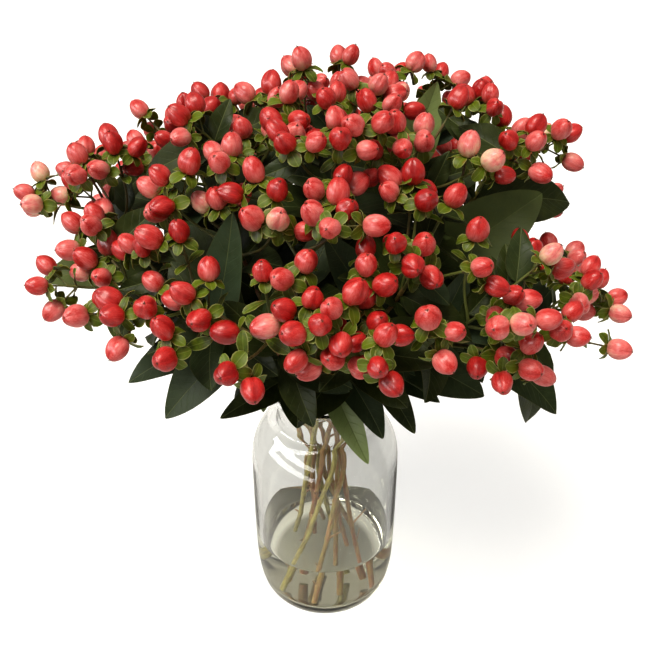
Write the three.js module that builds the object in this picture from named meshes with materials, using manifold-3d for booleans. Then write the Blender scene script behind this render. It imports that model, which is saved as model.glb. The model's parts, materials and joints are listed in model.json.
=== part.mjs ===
// A bunch of cut hypericum stems, with their coral berries and dark leaves, standing in water in a glass vase.
// Millimetres, +Z up. The origin is the centre of the vase's flat foot, and -Y is the front.

import * as THREE from "three";
import { mergeVertices } from "three/addons/utils/BufferGeometryUtils.js";
import Module from "manifold-3d";

// ---- Driving dimensions -------------------------------------------------------------------------------------------

const VASE = {
  height: 221,
  bodyRadius: 62,
  footRadius: 46,
  footRound: 20, // height of the rounded corner above the foot
  shoulder: 146, // height where the straight wall ends
  neckRadius: 39,
  neckFoot: 190, // height where the shoulder meets the neck
  rimRadius: 42,
  wall: 3,
  base: 8,
  sides: 22,
};
const WATER = { level: 64, gap: 0.35 };
const STEM = { radius: 2.2, sides: 5, waist: 130, twist: 0.0155, cut: 1.3 }; // twist: sideways step per mm of height
const BRANCH = { radius: 1.7, fork: 0.16, inward: 0.75 }; // fork: share of the stem's arch where its branch leaves it
const CROWN = { centre: new THREE.Vector3(0, 0, 245), spray: 46, lift: 0.35, under: 263 };
const TWIG = { radius: 1.15, sides: 3, lengths: [36, 50, 50, 40, 40], starts: [0.8, 4, 9, 18, 23], stalk: 25 };
const BERRY = { radius: 6.9, length: 16, pedicel: 12.5, pedicelRadius: 0.8, sepal: 9.5, sepalRoot: 2.5 };
const LEAF = { thickness: 0.8, fold: 0.24, roots: [6, 34, 66, 100], lengths: [52, 64, 72, 74], slim: 0.49, skirt: 226 };
const CLEAR = { berry: 7.4, calyx: 8.4, twig: 1.5, stem: 2.7, leaf: 3.6, margin: 0.9 };
const SEED = 11;

// Each stem that stands in the vase: its bearing (0 is +X, 90 is the back), height angle over the crown's centre,
// reach to its berries, and radius at the waist.
const MAINS = [
  [-9, 19, 200, 17], [-43, 36, 196, 10], [-79, 39, 192, 17], [-105, 38, 192, 10], [-131, 39, 194, 17],
  [-160, 33, 202, 10], [178, 38, 228, 17], [146, 34, 200, 10], [110, 34, 196, 17], [74, 34, 196, 10],
  [34, 32, 204, 17],
];
// Each branch: its bearing, height angle and reach, and the number of the stem that it forks from.
const BRANCHES = [
  [-134, 58, 192, 5], [-99, 57, 199, 4], [-57, 51, 194, 3], [12, 50, 222, 1], [48, 54, 214, 11], [100, 54, 200, 9],
  [155, 53, 206, 8], [176, 73, 196, 7], [80, 71, 205, 10], [-10, 70, 200, 2], [-80, 80, 206, 6],
];
const STEMS = MAINS.map(([bearing, rise, reach, waistRadius]) => (
  { bearing, rise, reach, waistRadius, radius: STEM.radius }
));
BRANCHES.forEach(([bearing, rise, reach, number]) => {
  const branch = { bearing, rise, reach, parent: STEMS[number - 1], radius: BRANCH.radius };
  branch.parent.branch = branch;
  STEMS.push(branch);
});
// Large leaves set by hand: stem number, distance below its spray, tip, width as a share of length, and droop.
const SET_LEAVES = [
  [7, 34, [-198, -30, 336], 0.42, 0.6], [5, 6, [-57, -75, 412], 0.36, -0.3],
  [6, 66, [-140, -60, 270], 0.36, 0.7], [5, 34, [-109, -95, 267], 0.45, 0.6], [4, 100, [-72, -90, 262], 0.3, 0.6],
  [5, 100, [-66, -52, 246], 0.58, 0.5], [3, 66, [-17, -115, 281], 0.56, 0.7], [14, 34, [0, -85, 403], 0.34, -0.3],
  [16, 14, [82, 75, 442], 0.38, -0.3], [15, 66, [156, 20, 379], 0.52, 0.9], [15, 6, [185, 45, 357], 0.52, 0.6],
  [14, 6, [94, -95, 332], 0.4, 0.9], [1, 34, [171, -55, 237], 0.44, 0.8], [2, 66, [111, -75, 270], 0.5, 0.7],
  [1, 6, [161, -45, 213], 0.42, 1.1], [3, 100, [30, -101, 230], 0.3, 0.9], [14, 100, [46, -84, 243], 0.4, 0.8],
  [2, 100, [65, -70, 231], 0.32, 0.9], [2, 100, [84, -60, 253], 0.32, 0.5], [18, 34, [-154, 50, 364], 0.5, 0.6],
  [12, 34, [-110, -20, 372], 0.5, 0.5], [22, 34, [-41, -50, 386], 0.45, 0.4], [8, 100, [-95, 72, 252], 0.46, 0.8],
  [9, 100, [-28, 108, 246], 0.5, 0.8], [10, 100, [40, 104, 246], 0.5, 0.8], [11, 100, [104, 52, 250], 0.46, 0.8],
  [1, 100, [122, 12, 248], 0.44, 0.8], [7, 100, [-134, 20, 270], 0.44, 0.7], [6, 100, [-108, -18, 248], 0.44, 0.7],
  [4, 100, [-20, -80, 245], 0.72, 0.5], [12, 100, [-44, -73, 254], 0.36, 0.5],
];
const FACING = new THREE.Vector3(0, -0.9, 0.6); // those leaves are turned partly this way
const BEARING_LAG = 75; // degrees that a stem turns between the waist and its spray

// ---- Small helpers ------------------------------------------------------------------------------------------------

const UP = new THREE.Vector3(0, 0, 1);
const rad = THREE.MathUtils.degToRad;

// A repeatable number from 0 to 1 for item k of stem i.
function chance(i, k) {
  const s = Math.sin(SEED + i * 127.1 + k * 311.7) * 43758.5453;
  return s - Math.floor(s);
}
const spread = (i, k, half) => (2 * chance(i, k) - 1) * half;

const along = (point, direction, distance) => point.clone().addScaledVector(direction, distance);

// A unit vector square to axis, as near as it can be to the given one.
const squared = (v, axis) => v.clone().addScaledVector(axis, -v.dot(axis)).normalize();

// Direction at an angle from axis, on the side that turn (in radians) gives round it.
function leaning(axis, side, turn, angle) {
  const across = new THREE.Vector3().crossVectors(axis, side);
  const out = side.clone().multiplyScalar(Math.cos(turn)).addScaledVector(across, Math.sin(turn));
  return axis.clone().multiplyScalar(Math.cos(angle)).addScaledVector(out, Math.sin(angle)).normalize();
}

// ---- How the plant grows ------------------------------------------------------------------------------------------

// Stems cross at a waist like the rods of a hyperboloid, so that no two of them meet.
function stemLine(stem, z) {
  const turn = STEM.twist * (z - STEM.waist);
  const [c, s] = [Math.cos(stem.waistBearing) * stem.waistRadius, Math.sin(stem.waistBearing) * stem.waistRadius];
  return new THREE.Vector3(c - s * turn, s + c * turn, z);
}

// Where a stem leaves the vase, and its direction there.
function mouthOf(stem) {
  stem.waistBearing = rad(stem.bearing - BEARING_LAG);
  stem.foot = stemLine(stem, VASE.base + STEM.cut);
  const mouth = stemLine(stem, VASE.height);
  return [mouth, mouth.clone().sub(stem.foot).normalize()];
}

// Where a branch leaves its stem, and its direction there.
function forkOf(parent, top) {
  const start = parent.arch.getPoint(BRANCH.fork);
  const inward = top.clone().sub(start).normalize().multiplyScalar(BRANCH.inward);
  return [start, parent.arch.getTangent(BRANCH.fork).normalize().add(inward).normalize()];
}

function planStem(stem, i) {
  const out = new THREE.Vector3(Math.cos(rad(stem.bearing)), Math.sin(rad(stem.bearing)), 0);
  const aim = out.multiplyScalar(Math.cos(rad(stem.rise))).addScaledVector(UP, Math.sin(rad(stem.rise)));
  stem.axis = aim.clone().addScaledVector(UP, CROWN.lift).normalize();
  stem.top = along(CROWN.centre, aim, stem.reach - CROWN.spray);
  stem.side = squared(leaning(UP, aim, chance(i, 1) * Math.PI, Math.PI / 2), stem.axis);
  const [start, rising] = stem.parent ? forkOf(stem.parent, stem.top) : mouthOf(stem);
  const span = stem.top.distanceTo(start);
  stem.arch = new THREE.CubicBezierCurve3(
    start,
    along(start, rising, 0.38 * span),
    along(stem.top, stem.axis, -0.36 * span),
    stem.top,
  );
  stem.archLength = stem.arch.getLength();
  stem.leaves = [];
}

// Point and direction at a distance down a stem or branch from its top, as far as the vase's mouth or its fork.
function downStem(stem, distance) {
  const t = 1 - distance / stem.archLength;
  return [stem.arch.getPoint(t), stem.arch.getTangent(t).normalize()];
}

// A berry on its pedicel: where the pedicel starts, the way it points, and its length.
function berryOn(start, direction, length, size, i, k) {
  return { start, direction, length, size, roll: chance(i, k) * 2 * Math.PI };
}

const berryPoint = (berry, up) => along(berry.start, berry.direction, berry.length + up * berry.size);

// The bunch is lifted at the front, so that no berry hangs before the vase.
const isLifted = (berry) => berryPoint(berry, 8).z > CROWN.under - 0.5 * Math.min(berry.start.y, 0);

// What a berry, its calyx and its pedicel fill, as balls.
function berryBalls(berry) {
  return [
    { at: berryPoint(berry, 8), r: CLEAR.berry * berry.size, kind: "berry" },
    { at: berryPoint(berry, 1), r: CLEAR.calyx * berry.size, kind: "calyx" },
    { at: along(berry.start, berry.direction, berry.length * 0.35), r: CLEAR.twig, kind: "twig" },
    { at: along(berry.start, berry.direction, berry.length * 0.7), r: CLEAR.twig, kind: "twig" },
  ];
}

// Twig number k of a spray: 0 goes straight on, 1 and 2 are a pair, 3 and 4 the pair above, turned a quarter.
function planTwig(stem, i, k, attempt) {
  const base = along(stem.top, stem.axis, TWIG.starts[k]);
  const nudge = attempt * 0.28 * (attempt % 2 ? 1 : -1);
  const turn = (k > 2 ? Math.PI / 2 : 0) + (k % 2 ? 0 : Math.PI) + spread(i, 10 + k, 0.25) + nudge;
  const angle = k ? rad(k > 2 ? 46 : 58) + spread(i, 20 + k, 0.1) : Math.abs(nudge) * 0.25;
  const first = k ? leaning(stem.axis, stem.side, turn, angle) : stem.axis;
  const last = leaning(stem.axis, stem.side, turn, k ? angle * 0.62 : angle);
  const length = TWIG.lengths[k] * (1 + spread(i, 30 + k, 0.12));
  const bend = along(base, first, k ? length * 0.5 : TWIG.stalk);
  const end = along(bend, last, k ? length * 0.5 : length - TWIG.stalk);
  const plane = squared(leaning(last, stem.side, chance(i, 40 + k) * Math.PI, Math.PI / 2), last);
  const berries = [];
  const count = chance(i, 50 + k) > 0.2 ? 4 : 3;
  for (let b = 0; b < count; b++) {
    const fork = b ? rad(50) + spread(i, 60 + 5 * k + b, 0.12) : 0.08;
    const way = leaning(last, plane, ((b - 1) * 2 * Math.PI) / Math.max(count - 1, 1) + nudge, fork);
    const start = along(end, last, b > 2 ? -7 : -1);
    const pedicel = BERRY.pedicel * (b ? 1.2 : 0.95) * (1 + spread(i, 90 + 5 * k + b, 0.15));
    berries.push(berryOn(start, way, pedicel, 1 + spread(i, 120 + 5 * k + b, 0.1), i, 150 + 5 * k + b));
  }
  return { points: [base, bend, end], berries };
}

// Balls every few millimetres along the line through the points.
function lineBalls(points, r, kind) {
  const balls = [];
  for (let n = 0; n + 1 < points.length; n++) {
    const steps = Math.ceil(points[n].distanceTo(points[n + 1]) / 4);
    for (let s = 1; s <= steps; s++) balls.push({ at: points[n].clone().lerp(points[n + 1], s / steps), r, kind });
  }
  return balls;
}

// True if no ball meets one already there. Balls of one spray may come closer, because they are fused.
function isClear(balls, taken, owner) {
  return balls.every((ball) => taken.every((other) => {
    const own = other.owner === owner && ball.kind !== "leaf" && other.kind !== "leaf";
    if (own && !(ball.kind === "berry" && other.kind === "berry")) return true;
    const room = own ? 0.87 * (ball.r + other.r) : ball.r + other.r + CLEAR.margin;
    return ball.at.distanceToSquared(other.at) > room * room;
  }));
}

function growSpray(stem, i, taken) {
  stem.twigs = [];
  for (let k = 0; k < TWIG.lengths.length; k++) {
    let best = null;
    for (let attempt = 0; attempt < 9; attempt++) {
      const twig = planTwig(stem, i, k, attempt);
      if (!isClear(lineBalls(twig.points, CLEAR.twig, "twig"), taken, i)) continue;
      const own = [];
      for (const berry of twig.berries) {
        const balls = berryBalls(berry).map((ball) => ({ ...ball, owner: i }));
        if (isLifted(berry) && isClear(balls, taken, i) && isClear(balls, own, i)) own.push(...balls);
        else berry.dropped = true;
      }
      twig.berries = twig.berries.filter((berry) => !berry.dropped);
      twig.balls = own;
      if (!best || twig.berries.length > best.berries.length) best = twig;
      if (best.berries.length > 3 || (attempt > 1 && best.berries.length > 2)) break;
    }
    if (!k && !(best && best.berries.length)) stem.stalk = [stem.top, along(stem.top, stem.axis, TWIG.stalk)];
    if (!best || !best.berries.length) continue;
    taken.push(...best.balls, ...lineBalls(best.points, CLEAR.twig, "twig").map((ball) => ({ ...ball, owner: i })));
    stem.twigs.push({ ...best, number: k });
  }
}

// Half the width of a leaf at a share t of its length: widest below the middle, with a pointed tip.
const leafWidth = (t) => Math.sin(Math.PI * Math.pow(t, 0.74));

// A point of a leaf's blade: t runs from its root to its tip, and across from -1 to 1.
function leafPoint(leaf, t, across, lift) {
  const a = leaf.droop * t;
  const rib = along(leaf.root, leaf.direction, (leaf.length * Math.sin(a)) / leaf.droop);
  rib.addScaledVector(leaf.upper, (-leaf.length * (1 - Math.cos(a))) / leaf.droop);
  const upper = leaf.upper.clone().multiplyScalar(Math.cos(a)).addScaledVector(leaf.direction, Math.sin(a));
  const side = new THREE.Vector3().crossVectors(leaf.direction, leaf.upper);
  const half = Math.max(leaf.width * 0.5 * leafWidth(t), t < 0.5 ? 1.1 : 0) * across;
  rib.addScaledVector(side, half * Math.cos(LEAF.fold));
  return rib.addScaledVector(upper, Math.abs(half) * Math.sin(LEAF.fold) + lift);
}

function leafBalls(leaf, from = 0.22) {
  const balls = [];
  for (let t = from; t < 1.01; t += 0.13)
    for (const across of t > 0.9 ? [0] : [-0.86, -0.3, 0.3, 0.86])
      balls.push({ at: leafPoint(leaf, Math.min(t, 1), across, 0), r: CLEAR.leaf, kind: "leaf" });
  return balls;
}

// Leaf number k of a stem, in pairs from the top down. Later attempts turn it round the stem and shorten it.
function planLeaf(stem, i, k, attempt) {
  const pair = Math.floor(k / 2);
  const [node, direction] = downStem(stem, LEAF.roots[pair]);
  const side = squared(stem.side, direction);
  const swing = [0, 0.5, -0.5, 1, -1, 0.25, -0.25][attempt];
  const turn = (pair % 2 ? Math.PI / 2 : 0) + (k % 2 ? Math.PI : 0) + spread(i, 200 + k, 0.3) + swing;
  const angle = rad(62 + 5 * pair) + spread(i, 220 + k, 0.22) + (attempt > 4 ? 0.35 : 0);
  const way = leaning(direction, side, turn, angle);
  const outward = new THREE.Vector3(node.x, node.y, 0).normalize();
  way.addScaledVector(outward, 0.28).normalize();
  const length = LEAF.lengths[pair] * (1 + spread(i, 240 + k, 0.14)) * (attempt > 2 ? 0.82 : 1);
  return {
    root: along(node, way, STEM.radius * 0.55),
    direction: way,
    upper: squared(direction, way),
    length,
    width: length * LEAF.slim * (1 + spread(i, 260 + k, 0.1)),
    droop: 0.5 + 0.06 * pair + spread(i, 280 + k, 0.3),
    pair,
  };
}

// A leaf from the given place on a stem to its tip.
function setLeaf([stemNumber, distance, tip, slim, droop]) {
  const stem = STEMS[stemNumber - 1];
  const [node, direction] = downStem(stem, distance);
  const span = new THREE.Vector3(...tip).sub(node);
  const chord = span.clone().normalize();
  const root = along(node, chord, STEM.radius * 0.55);
  const upper = squared(along(node, span, 0.5).sub(CROWN.centre).normalize().add(FACING), chord);
  const way = chord.clone().multiplyScalar(Math.cos(droop / 2)).addScaledVector(upper, Math.sin(droop / 2));
  const length = (span.length() * droop) / 2 / Math.sin(droop / 2);
  return [stem, { root, direction: way, upper: squared(upper, way), length, width: length * slim, droop, pair: 0 }];
}

// Leaves keep clear of the vase, over which the lowest of them hang.
const overVase = (leaf) => leafBalls(leaf).every(({ at }) => at.z > LEAF.skirt + 0.45 * Math.hypot(at.x, at.y));

function growLeaf(stem, i, k, taken) {
  if (LEAF.roots[Math.floor(k / 2)] > stem.archLength - 12) return;
  for (let attempt = 0; attempt < 7; attempt++) {
    const leaf = planLeaf(stem, i, k, attempt);
    const balls = leafBalls(leaf).map((ball) => ({ ...ball, owner: i }));
    if (!overVase(leaf) || !isClear(balls, taken, i)) continue;
    taken.push(...balls);
    stem.leaves.push(leaf);
    return;
  }
}

function growBunch() {
  const taken = [];
  STEMS.forEach(planStem);
  STEMS.forEach((stem, i) => {
    for (let s = 0; s < stem.archLength; s += 5)
      taken.push({ at: downStem(stem, s)[0], r: CLEAR.stem, kind: "stem", owner: i });
  });
  for (const [stem, leaf] of SET_LEAVES.map(setLeaf)) {
    taken.push(...leafBalls(leaf, 0.09).map((ball) => ({ ...ball, owner: STEMS.indexOf(stem) })));
    stem.leaves.push(leaf);
  }
  STEMS.forEach((stem, i) => growSpray(stem, i, taken));
  for (let k = 0; k < 2 * LEAF.roots.length; k++) STEMS.forEach((stem, i) => growLeaf(stem, i, k, taken));
  return STEMS;
}

// ---- Solids -------------------------------------------------------------------------------------------------------

const wasm = await Module();
wasm.setup();

function toSolid(geometry) {
  const bare = geometry.index ? geometry : geometry.clone();
  bare.deleteAttribute("normal");
  bare.deleteAttribute("uv");
  const merged = mergeVertices(bare, 1e-4);
  return new wasm.Manifold(new wasm.Mesh({
    numProp: 3,
    vertProperties: new Float32Array(merged.attributes.position.array),
    triVerts: new Uint32Array(merged.index.array),
  }));
}

function toGeometry(solid) {
  const mesh = solid.getMesh();
  const geometry = new THREE.BufferGeometry();
  geometry.setAttribute("position", new THREE.BufferAttribute(mesh.vertProperties, 3));
  geometry.setIndex(new THREE.BufferAttribute(mesh.triVerts, 1));
  geometry.computeVertexNormals();
  return geometry;
}

function geometryOf(points, triangles) {
  const geometry = new THREE.BufferGeometry().setFromPoints(points);
  geometry.setIndex(triangles.flat());
  return geometry;
}

// Joins rings of points into a closed skin. A ring may have twice as many points as the one before it.
function loft(rings) {
  const points = rings.flat();
  const triangles = [];
  const fan = (ring, from, flip) => {
    for (let n = 1; n + 1 < ring.length; n++)
      triangles.push(flip ? [from, from + n + 1, from + n] : [from, from + n, from + n + 1]);
  };
  let from = 0;
  fan(rings[0], 0, true);
  for (let r = 0; r + 1 < rings.length; r++) {
    const [a, b] = [rings[r].length, rings[r + 1].length];
    const next = from + a;
    for (let n = 0; n < Math.max(a, b); n++) {
      const [low, high] = [Math.floor((n * a) / Math.max(a, b)), Math.floor((n * b) / Math.max(a, b))];
      const [lowNext, highNext] = [Math.floor(((n + 1) * a) / Math.max(a, b)) % a, (high + 1) % b];
      if (b > 1) triangles.push([from + low, next + highNext, next + high]);
      if (lowNext !== low) triangles.push([from + low, from + lowNext, b > 1 ? next + highNext : next]);
    }
    from = next;
  }
  fan(rings.at(-1), from, false);
  return geometryOf(points, triangles);
}

// A ring of points round a centre, square to axis. radii may be one number or one for each point.
function ring(centre, axis, side, count, radii, heights = 0, roll = 0) {
  const across = new THREE.Vector3().crossVectors(axis, side);
  return Array.from({ length: count }, (_, n) => {
    const a = roll + (n * 2 * Math.PI) / count;
    const r = Array.isArray(radii) ? radii[n % radii.length] : radii;
    const up = Array.isArray(heights) ? heights[n % heights.length] : heights;
    return along(centre, side, r * Math.cos(a)).addScaledVector(across, r * Math.sin(a)).addScaledVector(axis, up);
  });
}

// A closed rod through the points, carrying its section along without twist. Its last ring is square to lastAxis.
function rod(points, radius, sides, lastAxis) {
  let side = squared(new THREE.Vector3(0.3, 0.9, 0.1), points[1].clone().sub(points[0]).normalize());
  return loft(points.map((point, n) => {
    const before = points[Math.max(n - 1, 0)];
    const after = points[Math.min(n + 1, points.length - 1)];
    const axis = after === point && lastAxis ? lastAxis : after.clone().sub(before).normalize();
    side = squared(side, axis);
    return ring(point, axis, side, sides, radius);
  }));
}

// A stem bends where it leaves the vase, where its branch leaves it, and where its leaves grow.
function stemPoints(stem) {
  const fork = stem.parent ? 0 : BRANCH.fork * stem.archLength;
  const nodes = LEAF.roots.slice(1).filter((distance) => distance < stem.archLength - fork - 12).reverse();
  const low = stem.parent ? [stem.arch.getPoint(0)] : [stem.foot, stem.arch.getPoint(0), stem.arch.getPoint(BRANCH.fork)];
  return [...low, ...nodes.map((distance) => downStem(stem, distance)[0]), stem.top];
}

// Blade rows from root to tip. The rows between have an edge, the rib and the other edge.
const BLADE_ROWS = [[0, [-1, 1]], [0.3, [-1, 0, 1]], [0.7, [-1, 0, 1]], [1, [0]]];
const BLADE_FACES = [[0, 1, 3], [0, 3, 2], [1, 4, 3], [2, 3, 6], [2, 6, 5], [3, 4, 7], [3, 7, 6], [5, 6, 8], [6, 7, 8]];
const BLADE_EDGE = [0, 1, 4, 7, 8, 5, 2];

function leafBlade(leaf) {
  const sheet = (lift) => (
    BLADE_ROWS.flatMap(([t, places]) => places.map((across) => leafPoint(leaf, t, across, lift)))
  );
  const upper = sheet(LEAF.thickness / 2);
  const below = upper.length;
  const triangles = BLADE_FACES.flatMap(([a, b, c]) => [[a, b, c], [a + below, c + below, b + below]]);
  BLADE_EDGE.forEach((a, n) => {
    const b = BLADE_EDGE[(n + 1) % BLADE_EDGE.length];
    triangles.push([a, a + below, b], [b, a + below, b + below]);
  });
  return geometryOf([...upper, ...sheet(-LEAF.thickness / 2)], triangles);
}

// A berry with its calyx and pedicel. The twig's own points come first where the berry ends a twig.
function berryUnit(berry, twig = []) {
  const { direction: axis, size } = berry;
  const side = squared(Math.abs(axis.z) < 0.9 ? UP : new THREE.Vector3(1, 0, 0), axis);
  const at = (up) => berryPoint(berry, up);
  const lobes = [BERRY.sepal * size, BERRY.sepalRoot * size];
  const plump = (share) => [0.94, 1.02].map((lobe) => BERRY.radius * size * share * lobe); // three lobes
  const lead = twig.slice(0, -1).map((point, n) => {
    const on = twig[n + 1].clone().sub(point).normalize();
    return ring(point, on, squared(side, on), 3, TWIG.radius, 0, berry.roll);
  });
  return loft([
    ...(lead.length ? lead : [ring(berry.start, axis, side, 3, BERRY.pedicelRadius, 0, berry.roll)]),
    ring(at(-1.2), axis, side, 3, BERRY.pedicelRadius, 0, berry.roll),
    ring(at(-0.2), axis, side, 6, lobes, [-0.6, 0.2], berry.roll),
    ring(at(1.1), axis, side, 6, BERRY.sepalRoot * size * 1.1, 0, berry.roll),
    ring(at(7), axis, side, 6, plump(1), 0, berry.roll),
    ring(at(12.6), axis, side, 6, plump(0.74), 0, berry.roll),
    [at(BERRY.length)],
  ]);
}

// Half section of the room inside the vase, from the axis up to the straight wall's end, drawn inwards by a gap.
function cavity(gap) {
  const { bodyRadius, footRadius, footRound, shoulder, wall, base } = VASE;
  return [
    [0, base + gap],
    [footRadius - 3 - gap, base + gap],
    [bodyRadius - wall - 3.5 - gap, footRound * 0.8 + gap],
    [bodyRadius - wall - 1.5 - gap, footRound * 1.6 + gap],
    [bodyRadius - wall - gap, shoulder],
  ];
}

function vaseSection() {
  const { bodyRadius, footRadius, footRound, shoulder, neckRadius, neckFoot, rimRadius, height, wall } = VASE;
  const across = (share) => neckRadius + share * (bodyRadius - neckRadius);
  const up = (share) => shoulder + share * (neckFoot - shoulder);
  const outside = [
    [0, 0],
    [footRadius, 0],
    [footRadius + 10, footRound * 0.2],
    [bodyRadius - 2, footRound],
    [bodyRadius, footRound * 2.2],
    [bodyRadius, shoulder],
    [across(0.93), up(0.35)],
    [across(0.7), up(0.66)],
    [across(0.3), up(0.88)],
    [neckRadius, neckFoot + 1],
    [neckRadius, height - 14],
    [rimRadius, height - 2],
    [rimRadius - 1, height],
  ];
  const inside = [
    ...cavity(0),
    [across(0.93) - wall, up(0.32)],
    [across(0.68) - wall, up(0.6)],
    [across(0.26) - wall, up(0.82)],
    [neckRadius - wall, neckFoot - 1],
    [neckRadius - wall, height - 14],
    [rimRadius - wall, height - 1],
  ];
  return [...outside, ...inside.reverse()];
}

// Turns a half section round the upright axis.
function lathe(section) {
  const turned = new THREE.LatheGeometry(section.map(([r, z]) => new THREE.Vector2(r, z)), VASE.sides);
  return toSolid(turned.rotateX(Math.PI / 2));
}

function makeWater(stems) {
  const { bodyRadius, shoulder, footRound, wall } = VASE;
  const share = (WATER.level - 1.6 * footRound) / (shoulder - 1.6 * footRound);
  const shore = bodyRadius - wall - 1.5 * (1 - share) - WATER.gap;
  const holes = stems.filter((stem) => !stem.parent).map((stem) => {
    const direction = stemLine(stem, 200).sub(stem.foot).normalize();
    const ends = [along(stem.foot, direction, -6), along(stem.foot, direction, WATER.level)];
    return toSolid(rod(ends, STEM.radius + WATER.gap, STEM.sides));
  });
  const block = lathe([...cavity(WATER.gap).slice(0, -1), [shore, WATER.level], [0, WATER.level]]);
  return block.subtract(wasm.Manifold.union(holes));
}

// ---- The object ---------------------------------------------------------------------------------------------------

// Joins skins into one body, and drops the slivers that joining leaves.
const fused = (skins) => wasm.Manifold.union(skins.map(toSolid)).simplify(0.2);

const finishes = {
  glass: new THREE.MeshStandardMaterial({ color: 0xdfe6e4, roughness: 0.03, metalness: 0, transparent: true, opacity: 0.3 }),
  water: new THREE.MeshStandardMaterial({ color: 0xc9d0c4, roughness: 0.05, metalness: 0, transparent: true, opacity: 0.35 }),
  leaf: new THREE.MeshStandardMaterial({ color: 0x2c4022, roughness: 0.5, metalness: 0 }),
  berry: new THREE.MeshStandardMaterial({ color: 0xd8433f, roughness: 0.35, metalness: 0 }),
};

// To keep the solids light, each twig has one berry of its bunch, and most sprays leave out their last twig.
const isShown = (stem, i, twig) => twig.number < 4 || (!stem.parent && i % 2 === 1);

function piece(name, solid, finish) {
  const mesh = new THREE.Mesh(toGeometry(solid), finishes[finish]);
  mesh.name = name;
  return mesh;
}

const stems = growBunch();
const bunch = new THREE.Group();
bunch.add(piece("vase", lathe(vaseSection()), "glass"));
bunch.add(piece("water", makeWater(stems), "water"));
stems.forEach((stem, i) => {
  const number = String(i + 1).padStart(2, "0");
  if (!stem.parent) {
    const wood = [stem, stem.branch].map((one) => rod(stemPoints(one), one.radius, STEM.sides, one.axis));
    const blades = [...stem.leaves, ...stem.branch.leaves].map(leafBlade);
    bunch.add(piece(`stem_${number}`, fused([...wood, ...blades]), "leaf"));
  }
  const shown = stem.twigs.filter((twig) => isShown(stem, i, twig));
  const twigs = shown.map((twig) => berryUnit(twig.berries[0], twig.points));
  if (stem.stalk) twigs.push(rod(stem.stalk, TWIG.radius, TWIG.sides));
  bunch.add(piece(`spray_${number}`, fused(twigs), "berry"));
});

export default bunch;
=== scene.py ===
# A bunch of cut hypericum stems with coral berries and dark leaves, standing in water in a glass vase.

import functools
import json
import math
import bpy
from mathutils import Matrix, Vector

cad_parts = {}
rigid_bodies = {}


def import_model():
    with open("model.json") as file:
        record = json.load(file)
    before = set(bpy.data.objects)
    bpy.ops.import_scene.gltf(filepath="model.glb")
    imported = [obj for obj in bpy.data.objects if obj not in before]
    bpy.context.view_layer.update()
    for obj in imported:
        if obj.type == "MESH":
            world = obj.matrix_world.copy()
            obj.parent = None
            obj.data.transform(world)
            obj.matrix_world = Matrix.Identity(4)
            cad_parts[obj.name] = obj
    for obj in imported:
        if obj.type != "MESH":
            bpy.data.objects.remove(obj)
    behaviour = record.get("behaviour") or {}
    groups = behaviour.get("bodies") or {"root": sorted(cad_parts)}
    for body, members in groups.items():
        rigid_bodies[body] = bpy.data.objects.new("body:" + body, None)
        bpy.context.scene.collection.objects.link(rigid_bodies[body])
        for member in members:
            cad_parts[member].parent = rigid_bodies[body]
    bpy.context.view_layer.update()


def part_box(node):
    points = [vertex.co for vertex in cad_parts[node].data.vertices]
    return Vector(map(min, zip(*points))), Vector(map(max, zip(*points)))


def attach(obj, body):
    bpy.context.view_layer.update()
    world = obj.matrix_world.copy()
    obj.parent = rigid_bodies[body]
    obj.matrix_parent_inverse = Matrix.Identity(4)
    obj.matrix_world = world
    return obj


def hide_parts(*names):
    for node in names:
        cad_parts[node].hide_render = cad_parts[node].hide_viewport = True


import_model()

from types import SimpleNamespace

import bpy
import numpy as np
from bpy.props import FloatProperty, FloatVectorProperty, IntProperty, PointerProperty

bl_info = {
    "name": "Hypericum in a glass vase",
    "version": (1, 0, 0),
    "blender": (4, 5, 0),
    "location": "View3D > Sidebar > Hypericum",
    "description": "Builds a bunch of berried hypericum stems standing in water in a glass vase",
    "category": "Add Mesh",
}

MM = 0.001
VASE_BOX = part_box("vase")
WATER_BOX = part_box("water")

# ---- Sizes of the plant, in millimetres, as the solids have them ---------------------------------------------------

VASE = SimpleNamespace(
    height=VASE_BOX[1].z / MM, body_radius=62, foot_radius=46, foot_round=20, shoulder=146, neck_radius=39,
    neck_foot=190, rim_radius=42, wall=3, base=8,
)
STEM = SimpleNamespace(radius=2.2, waist=130, twist=0.0155, cut=1.3, rising=0.38, ending=0.36)
BRANCH = SimpleNamespace(radius=1.7, fork=0.16, inward=0.75)
CROWN = SimpleNamespace(centre=np.array([0.0, 0.0, 245.0]), spray=46, lift=0.35, under=263)
TWIG = SimpleNamespace(lengths=[36, 50, 50, 40, 40], starts=[0.8, 4, 9, 18, 23], stalk=25, tries=9, nudge=0.28,
                       low_angle=58, high_angle=46, straighter=0.62, three=0.2, draws=(60, 90, 120, 150))
BERRY = SimpleNamespace(length=16, pedicel=12.5, fork=math.radians(50), straight=0.08, middle=8, dropped=0.13,
                        full_beyond=150, behind=-20)
# A leaf takes room from the share start of its length on, and a listed one from set_start on.
LEAF = SimpleNamespace(fold=0.24, roots=[6, 34, 66, 100], lengths=[52, 64, 72, 74], slim=0.49, skirt=226,
                       hang=0.45, angle=62, wider=5, outward=0.28, shorter=0.82, droop=0.5, root=0.55,
                       swings=[0, 0.5, -0.5, 1, -1, 0.25, -0.25], start=0.22, set_start=0.09, step=0.13)
CLEAR = SimpleNamespace(berry=7.4, calyx=8.4, twig=1.5, stem=2.7, leaf=3.6, margin=0.9)
# How far a leaf may be turned where blades cross, by its nod and its roll, and how far off the rim it stays then.
SETTLE = SimpleNamespace(nods=(0, 0.08, -0.08, 0.16, -0.16), rolls=(0, 0.14, -0.14, 0.28, -0.28, 0.42, -0.42),
                         above_rim=3, off_rim=4)
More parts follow.
